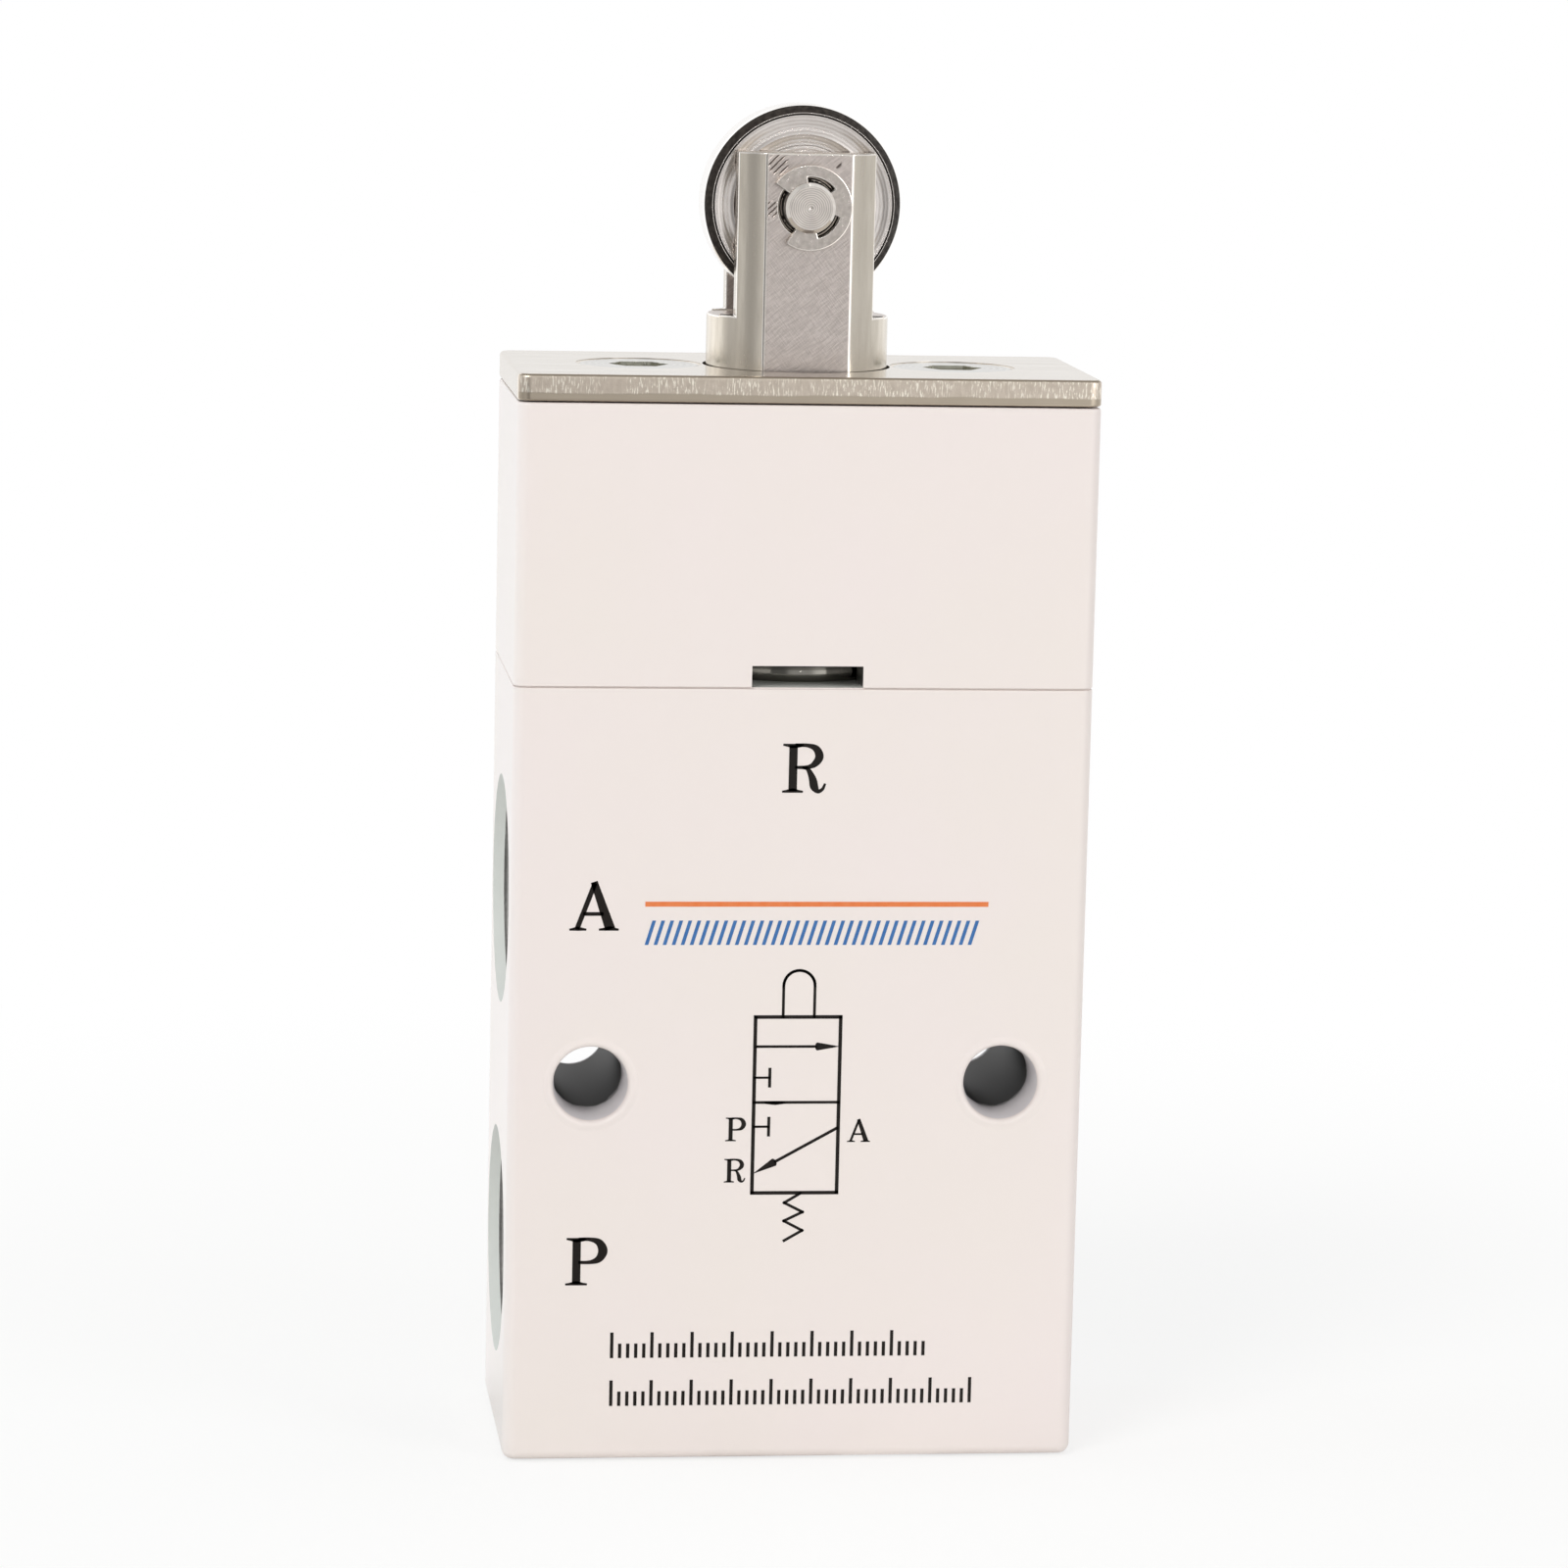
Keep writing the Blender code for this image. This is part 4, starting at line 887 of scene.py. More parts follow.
def pin_clip(node, y):
    """A stamped E clip: three fingers in the pin's groove, with a relief at each side of the middle one."""
    marks = [radians(a) for a in (45, 95, 153, 207, 265, 315)]
    zones = list(zip(marks[:-1], marks[1:], (1.25, 1.85, 1.25, 1.85, 1.25)))
    obj = surfaced(split_ring(node + "_blank", 2.55, zones, radians(191), CLIP_THICKNESS), CLIP_STEEL)
    # The clip's edge rounds carry a painted highlight
    obj = broken_edges(obj, 0.07, edge=EDGE_HIGHLIGHT)
    finished(placed(obj, (0, y, PIN_Z), "front"), "plunger", [node])


def circlip():
    """The internal circlip below the plug, with a drilled lug at each side of its mouth."""
    marks = [radians(a) for a in (14, 34, 326, 346)]
    zones = list(zip(marks[:-1], marks[1:], (3.95, 5.25, 3.95)))
    mouth = radians(270)
    middle = (CIRCLIP_LOW + CIRCLIP_TOP) / 2
    obj = placed(split_ring("circlip_blank", 6.35, zones, mouth, CIRCLIP_TOP - CIRCLIP_LOW), (0, 0, middle))
    holes = []
    for side in (-1, 1):
        angle = mouth + side * radians(24)
        hole = rod("lug_hole", 0.45, CIRCLIP_LOW - OVER, CIRCLIP_TOP + OVER, 32)
        holes.append(placed(hole, (4.6 * cos(angle), 4.6 * sin(angle), 0)))
    finished(broken_edges(cut(obj, *holes), 0.06), "valve", ["circlip"], SPRING)


def bottom_plug():
    """The plug, with a spigot inside the spring, a seal groove and a drilled dimple below."""
    profile = [(0, 8.0), (2.75, 8.0), (2.9, 7.85), (2.9, PLUG_TOP), (5.78, PLUG_TOP), (5.9, PLUG_TOP - 0.12)]
    profile += [(5.9, 4.95), (4.9, 4.95), (4.9, 3.75), (5.9, 3.75), (5.9, PLUG_LOW + 0.12), (5.78, PLUG_LOW)]
    profile += [(1.75, PLUG_LOW), (1.6, PLUG_LOW + 0.15), (1.6, PLUG_LOW + 0.6), (0, PLUG_LOW + 1.0)]
    finished(turned("plug_turned", profile), "valve", ["bottom_plug"], BRASS)


def guide_bush():
    """The stem's guide. Its polished flange is what shows through the notch."""
    levels = [48.5 - 0.082 * i for i in range(11)]
    barrel = [(6.1 - GUIDE_BARREL + sqrt(GUIDE_BARREL**2 - (level - 48.1) ** 2), level) for level in levels]
    profile = [(5.85, GUIDE_TOP), *barrel, (5.95, 47.6), (5.4, 47.6), (5.4, 41.57), (4.5, 41.57)]
    profile += [(4.5, 40.47), (5.4, 40.47), (5.4, GUIDE_LOW + 0.2), (5.2, GUIDE_LOW), (3.2, GUIDE_LOW)]
    profile += [(3.06, GUIDE_LOW + 0.14), (3.06, 44.07), (4.0, 44.07), (4.0, 45.17), (3.06, 45.17)]
    profile += [(3.06, GUIDE_TOP - 0.15), (3.21, GUIDE_TOP)]
    obj = turned("guide_turned", profile, 144, ring=True)
    # The bush's nickel is darkened as painted shade, for its flange seen in the notch
    finished(obj, "valve", ["guide_bush"], NICKEL_POLISHED)


def seal_ring(node, inner, outer, height):
    """An O-ring between two walls, just clear of both."""
    section, middle = (outer - inner) / 2 - 0.05, (outer + inner) / 2
    angles = [pi / 2 - 2 * pi * i / 20 for i in range(20)]
    profile = [(middle + section * cos(a), height + section * sin(a)) for a in angles]
    finished(turned(node + "_moulded", profile, ring=True), "valve", [node], RUBBER)


def plunger_stem():
    """The hollow stem, with the cross hole through which the outlet empties."""
    profile = [(0, STEM_TOP), (STEM_RADIUS - 0.2, STEM_TOP), (STEM_RADIUS, STEM_TOP - 0.2)]
    profile += [(STEM_RADIUS, 37.5)]
    profile += [(2.4, 36.9), (2.4, 22.5), (2.3, 22.4), (1.5, 22.4), (1.4, 22.5), (1.4, 55.05), (0, 55.8)]
    vent = placed(rod("vent", 1.0, -4, 4, 48), (0, 0, 53.05), "front")
    obj = broken_edges(cut(turned("stem_turned", profile), vent), 0.05)
    finished(obj, "plunger", ["plunger_stem"], STEM_STEEL)


def poppet():
    """A cup for the seal disc, over a skirt whose four corners run in the bore."""
    profile = [(0, 19.4), (4.55, 19.4), (4.55, 21.1), (4.65, 21.2), (5.15, 21.2), (5.25, 21.1), (5.25, 17.67)]
    profile += [(5.8, 17.12), (5.8, 13.55), (5.65, 13.4), (4.3, 13.4), (4.2, 13.5), (4.2, 17.4), (0, 17.4)]
    obj = turned("poppet_turned", profile)
    obj = cut(obj, *flat_cutters(10.0, 5.8, 12.0, 17.67, 0), *flat_cutters(10.0, 5.8, 12.0, 17.67, 1))
    finished(broken_edges(obj, 0.05), "poppet", ["poppet"], BRASS)


def poppet_seal():
    profile = [(0, 21.5), (4.35, 21.5), (4.5, 21.35), (4.5, 19.65), (4.35, 19.5), (0, 19.5)]
    finished(turned("seal_disc", profile), "poppet", ["poppet_seal"], RUBBER)


def spring(node, radius, low, high):
    """A compression spring with closed ends."""
    wire, turns = 0.4, 6
    closed_pitch = 2.1 * wire
    obj = generated(
        node + "_wire", HELIX, Radius=radius, Turns=float(turns), Bottom=low + wire,
        Pitch=(high - low - 2 * wire - 2 * closed_pitch) / (turns - 2), End_Pitch=closed_pitch,
        Wire_Radius=wire, Points=turns * 40,
    )
    made = finished(obj, "valve", [node], SPRING)
    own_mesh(made)


def port_thread(name, height):
    """The pipe thread of one port, from just inside its chamfer to short of its floor."""
    obj = generated(
        name, HELIX, Radius=PORT_RADIUS + 0.05, Turns=5.0, Bottom=0.75, Pitch=THREAD_PITCH,
        End_Pitch=THREAD_PITCH, End_Taper=0.5, Base_Width=0.9 * THREAD_PITCH, Crest_Width=0.2 * THREAD_PITCH,
        Crest_Height=-THREAD_DEPTH, Points=480,
    )
    obj.data.transform(Matrix.Rotation(pi / 2, 4, "Y"))
    finished(placed(obj, (-WIDTH / 2, 0, height)), "valve", (), ALLOY)


# Each stroke holds its points and its widths there, in parts of the letter's height
STAFF = ([(0.26, 0.03), (0.26, 0.97)], [0.17, 0.17])
TOP_SERIF = ([(0.05, 0.98), (0.14, 0.97), (0.26, 0.955), (0.46, 0.972)], [0.04, 0.06, 0.09, 0.06])
SERIF = [0.04, 0.06, 0.09, 0.06, 0.04]
GLYPHS = {
    "P": [
        STAFF,
        TOP_SERIF,
        ([(0.035, 0.02), (0.14, 0.03), (0.26, 0.045), (0.38, 0.03), (0.485, 0.02)], SERIF),
        ([(0.30, 0.972), (0.54, 0.967), (0.72, 0.90), (0.80, 0.727), (0.72, 0.555), (0.54, 0.487),
          (0.30, 0.485)],
         [0.07, 0.08, 0.15, 0.195, 0.15, 0.08, 0.067]),
    ],
    "R": [
        STAFF,
        TOP_SERIF,
        ([(0.045, 0.02), (0.14, 0.03), (0.26, 0.045), (0.37, 0.03), (0.47, 0.02)], SERIF),
        ([(0.30, 0.972), (0.55, 0.966), (0.72, 0.90), (0.79, 0.741), (0.71, 0.60), (0.57, 0.527),
          (0.30, 0.517)],
         [0.07, 0.08, 0.14, 0.172, 0.135, 0.08, 0.06]),
        ([(0.45, 0.515), (0.55, 0.49), (0.62, 0.38), (0.67, 0.25), (0.70, 0.12), (0.78, 0.03), (0.87, 0.08),
          (0.918, 0.19)],
         [0.06, 0.08, 0.12, 0.16, 0.165, 0.09, 0.065, 0.045]),
    ],
    "A": [
        ([(0.17, 0.03), (0.52, 0.97)], [0.1, 0.1]),
        ([(0.50, 0.99), (0.84, 0.03)], [0.14, 0.205]),
        ([(0.29, 0.34), (0.70, 0.34)], [0.075, 0.075]),
        ([(0.02, 0.02), (0.1, 0.03), (0.18, 0.04), (0.28, 0.03), (0.36, 0.02)],
         [0.04, 0.06, 0.085, 0.06, 0.04]),
        ([(0.61, 0.02), (0.71, 0.03), (0.83, 0.045), (0.93, 0.03), (1.01, 0.02)], SERIF),
    ],
}


def smooth_path(points, widths, steps=6):
    """Points and widths along a smooth curve through the given ones."""
    rows = [(x, z, w) for (x, z), w in zip(points, widths)]
    made = []
    for i in range(len(rows) - 1):
        near = list(zip(*(rows[min(max(k, 0), len(rows) - 1)] for k in (i - 1, i, i + 1, i + 2))))
        for t in (step / steps for step in range(steps)):
            made.append([
                0.5 * (2 * q + (r - p) * t
                       + (2 * p - 5 * q + 4 * r - s) * t**2 + (3 * q - p - 3 * r + s) * t**3)
                for p, q, r, s in near
            ])
    made.append(rows[-1])
    return [(x, z) for x, z, w in made], [w for x, z, w in made]


def print_shape(bm, rows):
    """One printed shape, a strip of pairs of points (x, z) on the front face, as thick as its ink."""
    sunk = [[bm.verts.new((x, FRONT + INK, z)) for x, z in row] for row in rows]
    proud = [[bm.verts.new((x, FRONT - INK, z)) for x, z in row] for row in rows]
    for i in range(len(rows) - 1):
        bm.faces.new((proud[i][0], proud[i][1], proud[i + 1][1], proud[i + 1][0]))
        bm.faces.new((sunk[i][0], sunk[i + 1][0], sunk[i + 1][1], sunk[i][1]))
        bm.faces.new((proud[i][0], proud[i + 1][0], sunk[i + 1][0], sunk[i][0]))
        bm.faces.new((proud[i + 1][1], proud[i][1], sunk[i][1], sunk[i + 1][1]))
    for i in (0, -1):
        bm.faces.new((proud[i][0], sunk[i][0], sunk[i][1], proud[i][1]))


def print_stroke(bm, points, widths):
    """A line through points, with a width at each."""
    rows = []
    for i, (x, z) in enumerate(points):
        before, after = points[max(i - 1, 0)], points[min(i + 1, len(points) - 1)]
        along = Vector((after[0] - before[0], after[1] - before[1])).normalized()
        across = Vector((-along.y, along.x)) * widths[i] / 2
        rows.append(((x + across.x, z + across.y), (x - across.x, z - across.y)))
    print_shape(bm, rows)


def print_lines(bm, points, width):
    """Straight lines from point to point, each run on by half its width so that corners close."""
    for start, end in zip(points[:-1], points[1:]):
        start, end = Vector(start), Vector(end)
        more = (end - start).normalized() * width / 2
        print_stroke(bm, [tuple(start - more), tuple(end + more)], [width, width])


def print_letter(bm, letter, left, low, height):
    for points, widths in GLYPHS[letter]:
        points = [(left + x * height, low + z * height) for x, z in points]
        widths = [w * height for w in widths]
        if len(points) > 2:
            points, widths = smooth_path(points, widths)
        print_stroke(bm, points, widths)


def print_arrow(bm, tail, tip, width, head):
    """A line with an arrowhead of the given length at its tip."""
    spread, point = 0.5, 0.03
    tail, tip = Vector(tail), Vector(tip)
    along = (tip - tail).normalized()
    neck = tip - along * head
    print_stroke(bm, [tuple(tail), tuple(neck + along * 0.1)], [width, width])
    print_stroke(bm, [tuple(neck), tuple(neck + along * 0.1), tuple(tip)], [spread * 0.6, spread, point])


def black_marks():
    """The port letters and the switching symbol of a 3/2 way valve with a plunger and a return spring."""
    bm = bmesh.new()
    print_letter(bm, "R", -1.43, 41.24, 2.97)
    print_letter(bm, "A", -14.0, 32.82, 3.0)
    print_letter(bm, "P", -13.95, 10.96, 2.95)
    print_letter(bm, "P", -4.34, 19.86, 1.46)
    print_letter(bm, "R", -4.38, 17.3, 1.46)
    print_letter(bm, "A", 3.12, 19.78, 1.43)
    left, right, low, middle, high = -2.59, 2.59, 16.64, 22.25, 27.52
    print_lines(bm, [(left, low), (right, low), (right, high), (left, high), (left, low)], 0.22)
    print_lines(bm, [(left, middle), (right, middle)], 0.17)
    blot = [(-1.95, middle - 0.03), (-1.3, middle - 0.04), (-0.65, middle - 0.03)]
    print_stroke(bm, blot, [0.1, 0.24, 0.1])
    dome = [(0.03 + x, 29.43 + z) for x, z in arc(0.95, 0, pi, 16)]
    print_lines(bm, [(0.98, high), *dome, (-0.92, high)], 0.17)
    print_arrow(bm, (left, 25.7), (right - 0.1, 25.7), 0.16, 1.4)
    print_arrow(bm, (right, 20.69), (left + 0.1, 17.87), 0.18, 1.5)
    for level in (23.78, 20.75):
        print_lines(bm, [(left, level), (-1.65, level)], 0.14)
        print_lines(bm, [(-1.65, level - 0.52), (-1.65, level + 0.52)], 0.18)
    zigzag = [(0.37, 16.6), (-0.6, 16.02), (0.53, 15.44), (-0.6, 14.89), (0.53, 14.29), (-0.56, 13.66)]
    print_lines(bm, zigzag, 0.17)
    finished(merged(closed(bm, blank("black_marks")), FINE_WELD), "valve", (), BLACK_INK)


def orange_stripe():
    bm = bmesh.new()
    print_stroke(bm, [(-9.4, 34.44), (11.42, 34.44)], [0.3, 0.3])
    finished(merged(closed(bm, blank("orange_stripe")), FINE_WELD), "valve", (), ORANGE_INK)


def mark_row_tree():
    """A row of upright printed bars. Every so many bars is tall, and the row can lean."""
    sizes = ["Spacing", "Width", "Tall", "Short", "Lean", "Thickness"]
    tree, given = new_tree("mark_row", {"Int": ["Count", "Every"], "Float": sizes, "Material": ["Material"]})
    step = add(tree, "ShaderNodeCombineXYZ", {"X": given["Spacing"]})
    line = add(tree, "GeometryNodeMeshLine", {"Count": given["Count"], "Offset": step})
    bar = add(tree, "GeometryNodeMeshCube", {"Size": (1, 1, 1)})
    bar = add(tree, "GeometryNodeTransform", {"Geometry": bar, "Translation": (0.5, 0, 0.5)})
    order = add(tree, "GeometryNodeInputIndex")
    place = add(tree, "ShaderNodeMath", {0: order, 1: given["Every"]}, operation="MODULO")
    is_tall = add(tree, "ShaderNodeMath", {0: place, 1: 0.0, 2: 0.5}, operation="COMPARE")
    height = add(tree, "ShaderNodeMix", {0: is_tall, 2: given["Short"], 3: given["Tall"]}, data_type="FLOAT")
    size = add(tree, "ShaderNodeCombineXYZ", {"X": given["Width"], "Y": given["Thickness"], "Z": height})
    bars = add(tree, "GeometryNodeInstanceOnPoints", {"Points": line, "Instance": bar, "Scale": size})
    real = add(tree, "GeometryNodeRealizeInstances", {"Geometry": bars})
    where = add(tree, "ShaderNodeSeparateXYZ", {0: add(tree, "GeometryNodeInputPosition")})
    shift = add(tree, "ShaderNodeMath", {0: where.outputs["Z"], 1: given["Lean"]}, operation="MULTIPLY")
    slide = add(tree, "ShaderNodeCombineXYZ", {"X": shift})
    leaning = add(tree, "GeometryNodeSetPosition", {"Geometry": real, "Offset": slide})
    dressed = add(tree, "GeometryNodeSetMaterial", {"Geometry": leaning, "Material": given["Material"]})
    add(tree, "NodeGroupOutput", {0: dressed})
    return tree


def mark_row(name, left, low, slot, material, **values):
    """A row of bars printed on the front face, from its lower left corner."""
    obj = generated(name, MARK_ROW, Thickness=2 * INK, Material=material, **values)
    finished(placed(obj, (left, FRONT, low)), "valve", (), material)


def add_camera():
    data = bpy.data.cameras.new("camera")
    data.lens = CAMERA_LENS
    data.sensor_width = 36
    data.clip_start = 0.01
    level = Vector((cos(CAMERA_YAW), -sin(CAMERA_YAW), 0))
    flat = cos(CAMERA_PITCH)
    ahead = Vector((sin(CAMERA_YAW) * flat, cos(CAMERA_YAW) * flat, -sin(CAMERA_PITCH)))
    upright = level.cross(ahead)
    right = cos(CAMERA_ROLL) * level + sin(CAMERA_ROLL) * upright
    up = cos(CAMERA_ROLL) * upright - sin(CAMERA_ROLL) * level
    camera = link("camera", data)
    camera.matrix_world = Matrix.Translation(CAMERA_PLACE) @ Matrix((right, up, -ahead)).transposed().to_4x4()
    bpy.context.scene.camera = camera


def add_lamp(name, place, aim, size, power, colour, mirrored):
    """A soft round lamp. One that isn't mirrored lights the valve without showing in its metal."""
    data = bpy.data.lights.new(name, "AREA")
    data.shape = "DISK"
    data.size = size
    data.energy = power
    data.color = linear(colour)[:3]
    lamp = link(name, data)
    lamp.location = place
    lamp.rotation_euler = (Vector(aim) - Vector(place)).to_track_quat("-Z", "Y").to_euler()
    lamp.visible_camera = False
    lamp.visible_glossy = mirrored


def mirrored_room(tree, way):
    """How bright metal sees the room in one direction: darker on the camera's side, with the cards in it."""
    part = add(tree, "ShaderNodeSeparateXYZ", {0: way}).outputs
    limits = {"Value": part["Y"], "From Min": -0.2, "From Max": 0.7, "To Min": ROOM_FRONT, "To Max": 1.0}
    bright = add(tree, "ShaderNodeMapRange", limits, interpolation_type="SMOOTHSTEP")
    forward = add(tree, "ShaderNodeMath", {0: part["Y"], 1: -1.0}, operation="MULTIPLY")
    bearing = add(tree, "ShaderNodeMath", {0: part["X"], 1: forward}, operation="ARCTAN2")
    for middle, reach, gone, change in ROOM_CARDS:
        offset = add(tree, "ShaderNodeMath", {0: bearing, 1: radians(middle)}, operation="SUBTRACT")
        away = add(tree, "ShaderNodeMath", {0: offset}, operation="ABSOLUTE")
        limits = {"Value": away, "From Min": radians(reach), "From Max": radians(gone)}
        limits |= {"To Min": change, "To Max": 0.0}
        card = add(tree, "ShaderNodeMapRange", limits, interpolation_type="SMOOTHSTEP")
        bright = add(tree, "ShaderNodeMath", {0: bright, 1: card}, operation="ADD")
    return bright


def add_world():
    """A white room, which shows plain white behind the valve and its cards only in metal."""
    world = bpy.data.worlds.new("white_room")
    bpy.context.scene.world = world
    world.use_nodes = True
    tree = world.node_tree
    tree.nodes.clear()
    mirrored = mirrored_room(tree, add(tree, "ShaderNodeTexCoord").outputs["Generated"])
    path = add(tree, "ShaderNodeLightPath").outputs
    inputs = {0: path["Is Glossy Ray"], 2: WORLD_LIGHT, 3: mirrored}
    soft = add(tree, "ShaderNodeMix", inputs, data_type="FLOAT")
    direct = {0: path["Is Camera Ray"], 1: path["Is Transmission Ray"]}
    seen = add(tree, "ShaderNodeMath", direct, operation="MAXIMUM")
    strength = add(tree, "ShaderNodeMix", {0: seen, 2: soft, 3: 1.0}, data_type="FLOAT")
    background = add(tree, "ShaderNodeBackground", {"Color": (1, 1, 1, 1), "Strength": strength})
    add(tree, "ShaderNodeOutputWorld", {"Surface": background})


def add_floor():
    """A white floor that keeps a faint shadow of the valve and runs out into plain white around it."""
    made, tree, place = new_material("white_floor")
    distance = add(tree, "ShaderNodeVectorMath", {0: place}, operation="LENGTH")
    way = add(tree, "ShaderNodeVectorMath", {0: place}, operation="NORMALIZE")
    path = add(tree, "ShaderNodeLightPath").outputs
    room = {0: path["Is Glossy Ray"], 2: 1.0, 3: mirrored_room(tree, way)}
    glow = add(tree, "ShaderNodeMix", room, data_type="FLOAT")
    limits = {"Value": distance, "From Min": 0.03, "From Max": 0.14, "To Min": 0.72, "To Max": 1.0}
    white = add(tree, "ShaderNodeMapRange", limits, interpolation_type="SMOOTHSTEP")
    inputs = {0: path["Is Camera Ray"], 1: path["Is Glossy Ray"]}
    seen = add(tree, "ShaderNodeMath", inputs, operation="MAXIMUM")
    shown = add(tree, "ShaderNodeMath", {0: seen, 1: path["Is Transmission Ray"]}, operation="MAXIMUM")
    share = add(tree, "ShaderNodeMath", {0: shown, 1: white}, operation="MULTIPLY")
    matt = add(tree, "ShaderNodeBsdfDiffuse", {"Color": linear("#F6F6F4")})
    light = add(tree, "ShaderNodeEmission", {"Color": (1, 1, 1, 1), "Strength": glow})
    shader = add(tree, "ShaderNodeMixShader", {0: share, 1: matt, 2: light})
    add(tree, "ShaderNodeOutputMaterial", {"Surface": shader})
    floor = surfaced(blank("floor"), made)
    reach = 12.0
    corners = [(-reach, -reach, 0), (reach, -reach, 0), (reach, reach, 0), (-reach, reach, 0)]
    floor.data.from_pydata(corners, [], [(0, 1, 2, 3)])
    floor.location.z = -0.0001


# Warm white satin enamel, the colour of both blocks
PAINT = cream_enamel()
# Greyer, flatter enamel on the ports' chamfers and the joint's face, its grey a painted shade of the paint
SHADED_ENAMEL = spotted("painted_shade_enamel", 0.8, 3.0, "#D3D5D0", "#DCDDD8", {"Roughness": 0.5, "IOR": 1.5})
# Dull silver of threads and chambers, with fine tool marks that break up its reflections
ALLOY = spotted(
    "bare_alloy", 0.25, 4.0, "#A6A5A3", "#D2D1CF", {"Metallic": 1.0, "Roughness": 0.32}, 0.5, 0.02
)
# Mounting holes: painted light at their mouths and painted shade in their depths
BORE_LIGHT_AND_SHADE = painted_light_bore()
# Clear warm nickel with faint long marks, the plate's faces
NICKEL_ROLLED = streaked_metal("rolled_nickel", "#D2CAC0", "#DCD5CB", 0.2, (6.0, 0.12, 6.0), 0.001)
# Two bands on the plate's cut edge, the upper one streaked with painted glints, below a dark line that is a
# painted reflection
NICKEL_SHEARED = sheared_nickel()
# Clear warm nickel with soft upright marks, the fork's round sides
NICKEL_TURNED = streaked_metal("turned_nickel", "#CEC6B9", "#DAD2C5", 0.22, (0.5, 0.5, 3.0), 0.002)
# Duller, cross-hatched nickel of the fork's flats
NICKEL_MILLED = milled_nickel()
# Thin bright outlines of the fork, the clips and the pin's chamfer: painted highlights along their edges
EDGE_HIGHLIGHT = streaked_metal("painted_highlight_edge", "#EFE8E0", "#F8F3EC", 0.16, (0.5, 0.5, 0.5), 0.001)
# Near black painted shade in the hollow around the pin and in the roller's groove
SHADE_STEEL = streaked_metal("painted_shade_steel", "#2B2724", "#413B36", 0.5, (0.3, 0.3, 0.3), 0.004)
# Polished nickel darkened as painted shade, the mirror behind the notch
NICKEL_POLISHED = turned_metal("polished_nickel", "#84817A", "#928F88", 0.12, MIDDLE, "Z", 0.3, 0.001)
# Fine rings on the roller's faces
ROLLER_STEEL = turned_metal("turned_roller_steel", "#CCC4BE", "#F2ECE8", 0.24, AT_PIN, "Y", 0.22, 0.004)
# Lighter and even, the roller's tread and outer edge: a ground finish, its lightness partly a painted
# highlight
GROUND_AND_HIGHLIGHT_STEEL = turned_metal("ground_roller_steel_with_highlight", "#F4F1EE", "#FEFCFA", 0.2, AT_PIN, "Y", 0.3, 0.001)
# Rings on the pin's end, with a highlight spun across them
PIN_STEEL = turned_metal("turned_pin_steel", "#A39A93", "#F8F1EA", 0.3, AT_PIN, "Y", 0.13, 0.006, 0.7)
# Smooth silver stem
STEM_STEEL = turned_metal("ground_stem_steel", "#BDB8B2", "#D6D2CD", 0.2, MIDDLE, "Z", 0.3, 0.001)
# Grey stamped clips
CLIP_STEEL = streaked_metal("stamped_clip_steel", "#B5ADA6", "#CFC7C0", 0.32, (0.3, 0.3, 0.3), 0.004)
# Dark grey wire
SPRING = streaked_metal("drawn_spring_steel", "#8E8B88", "#B2AFAC", 0.3, (0.2, 0.2, 0.2), 0.003)
# Bright cold screw heads, each with rings about its own middle
ZINC = {
    side: turned_metal(name, "#C2C0BC", "#DEDCD8", 0.25, (side * SCREW_X, 0, 0), "Z", 0.4, 0.002)
    for side, name in ((-1, "zinc_plate_left"), (1, "zinc_plate_right"))
}
# Dark grey inside the screws' sockets
SOCKET_STEEL = streaked_metal("socket_steel", "#CCCBC1", "#D8D7CD", 0.3, (0.4, 0.4, 0.4), 0.003)
# Yellow plug and poppet
BRASS = turned_metal("machined_brass", "#B88E45", "#D8B26A", 0.3, MIDDLE, "Z", 0.3, 0.003)
# Brown speckled bush
BRONZE = streaked_metal("sintered_bronze", "#7C5533", "#A87C50", 0.5, (0.12, 0.12, 0.12), 0.008)
# Matt black seals with a fine even grain
RUBBER = spotted(
    "nitrile_rubber", 0.15, 2.0, "#171716", "#262625", {"Roughness": 0.62, "IOR": 1.52}, 0.6, 0.01
)
# A satin film of ink, a little uneven, so that the paint shows through it faintly
FILM = {"Roughness": 0.5, "IOR": 1.48, "Specular IOR Level": 0.25}
# Brownish black print
BLACK_INK = spotted("black_ink", 0.5, 3.0, "#1C140F", "#0E0A07", FILM)
# Soft orange print
ORANGE_INK = spotted("orange_ink", 0.5, 3.0, "#E9905E", "#E26F33", FILM)
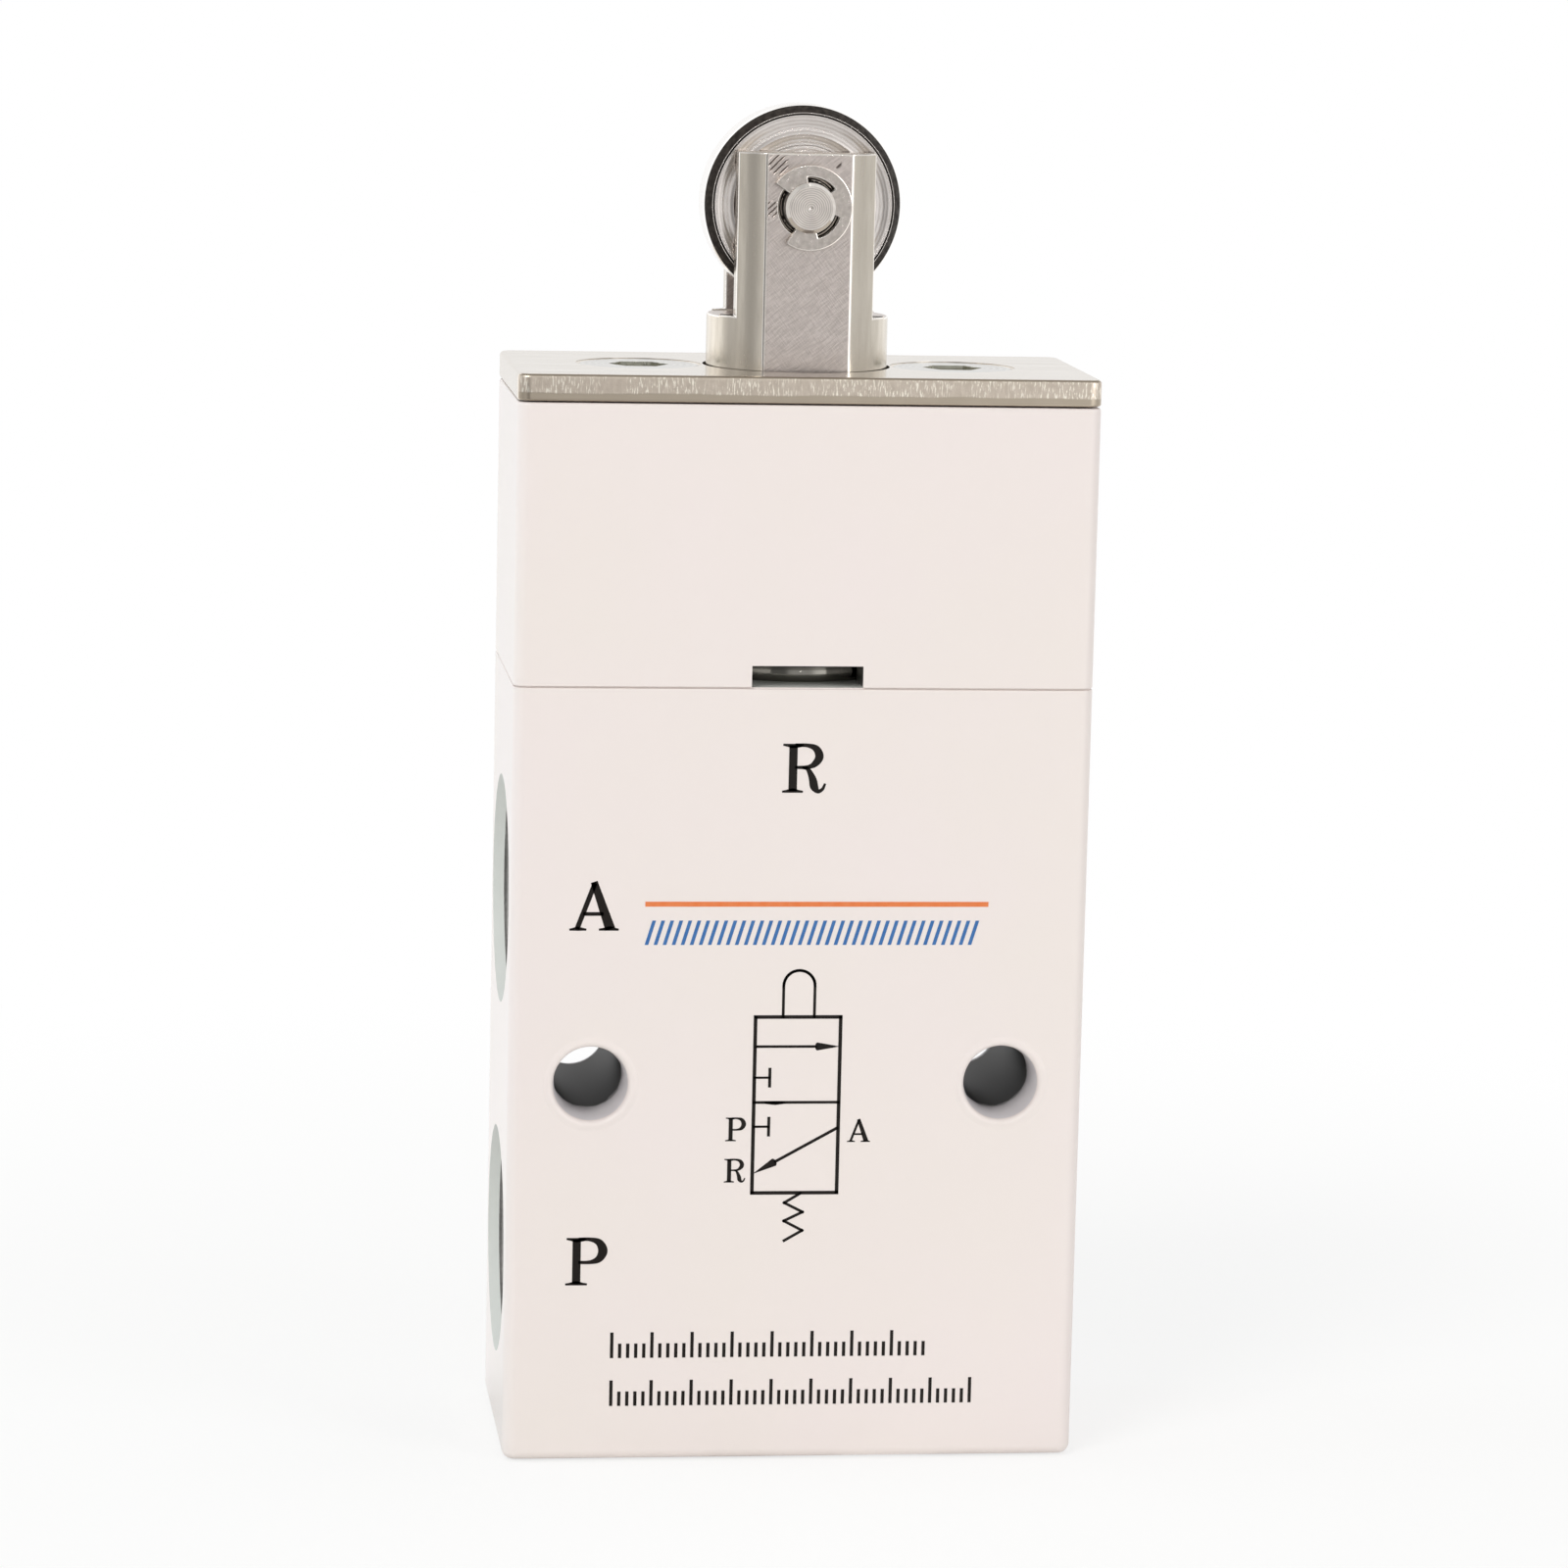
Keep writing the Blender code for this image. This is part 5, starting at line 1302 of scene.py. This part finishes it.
# Clear blue print
BLUE_INK = spotted("blue_ink", 0.5, 3.0, "#4C7DB4", "#2D62A4", FILM)

HELIX = helix_tree()
MARK_ROW = mark_row_tree()

valve_body()
port_thread("port_a_thread", PORT_HEIGHTS[0])
port_thread("port_p_thread", PORT_HEIGHTS[1])
upper_housing()
top_plate()
plate_screw("plate_screw_left", -1)
plate_screw("plate_screw_right", 1)
guide_bush()
bottom_plug()
circlip()
seal_ring("guide_o_ring", 4.5, 5.5, 41.02)
seal_ring("stem_o_ring", 3.0, 4.0, 44.62)
seal_ring("plug_o_ring", 4.9, 6.0, 4.35)
roller_fork()
roller_pin()
pin_clip("clip_front", -CLIP_MIDDLE)
pin_clip("clip_rear", CLIP_MIDDLE)
plunger_stem()
roller()
roller_bush()
poppet()
poppet_seal()
spring("stem_spring", 4.2, 48.65, 60.4)
spring("poppet_spring", 3.7, 6.3, 17.3)
black_marks()
orange_stripe()
HATCH = {"Spacing": 0.545, "Width": 0.22, "Tall": 1.49, "Short": 1.49, "Every": 1, "Lean": 0.3}
TICKS = {"Spacing": 0.49, "Width": 0.2, "Tall": 1.6, "Short": 0.9, "Every": 5}
mark_row("blue_hatch", -9.4, 31.95, "blue_ink", BLUE_INK, Count=37, **HATCH)
mark_row("upper_scale", -11.05, 6.4, "black_ink", BLACK_INK, Count=40, **TICKS)
mark_row("lower_scale", -11.05, 3.4, "black_ink", BLACK_INK, Count=46, **TICKS)

add_camera()
add_world()
add_floor()
add_lamp("key", (-0.55, -0.65, 0.75), (0, 0, 0.04), 0.5, 4.35, "#FFFDFA", True)
add_lamp("fill", (0.7, -0.6, 0.35), (0, 0, 0.04), 0.5, 1.95, "#FFFFFF", True)
add_lamp("side", (-0.9, 0.1, 0.3), (0, 0, 0.04), 0.5, 1.7, "#D6F2FF", False)
add_lamp("top", (0.05, 0.1, 0.9), (0, 0, 0.04), 0.4, 1.25, "#FFFFFF", False)
add_lamp("glint", (0.06, -0.6, 0.1), (0, 0, 0.05), 0.01, 0.012, "#FFFFFF", True)
bpy.context.scene.view_settings.view_transform = "Standard"
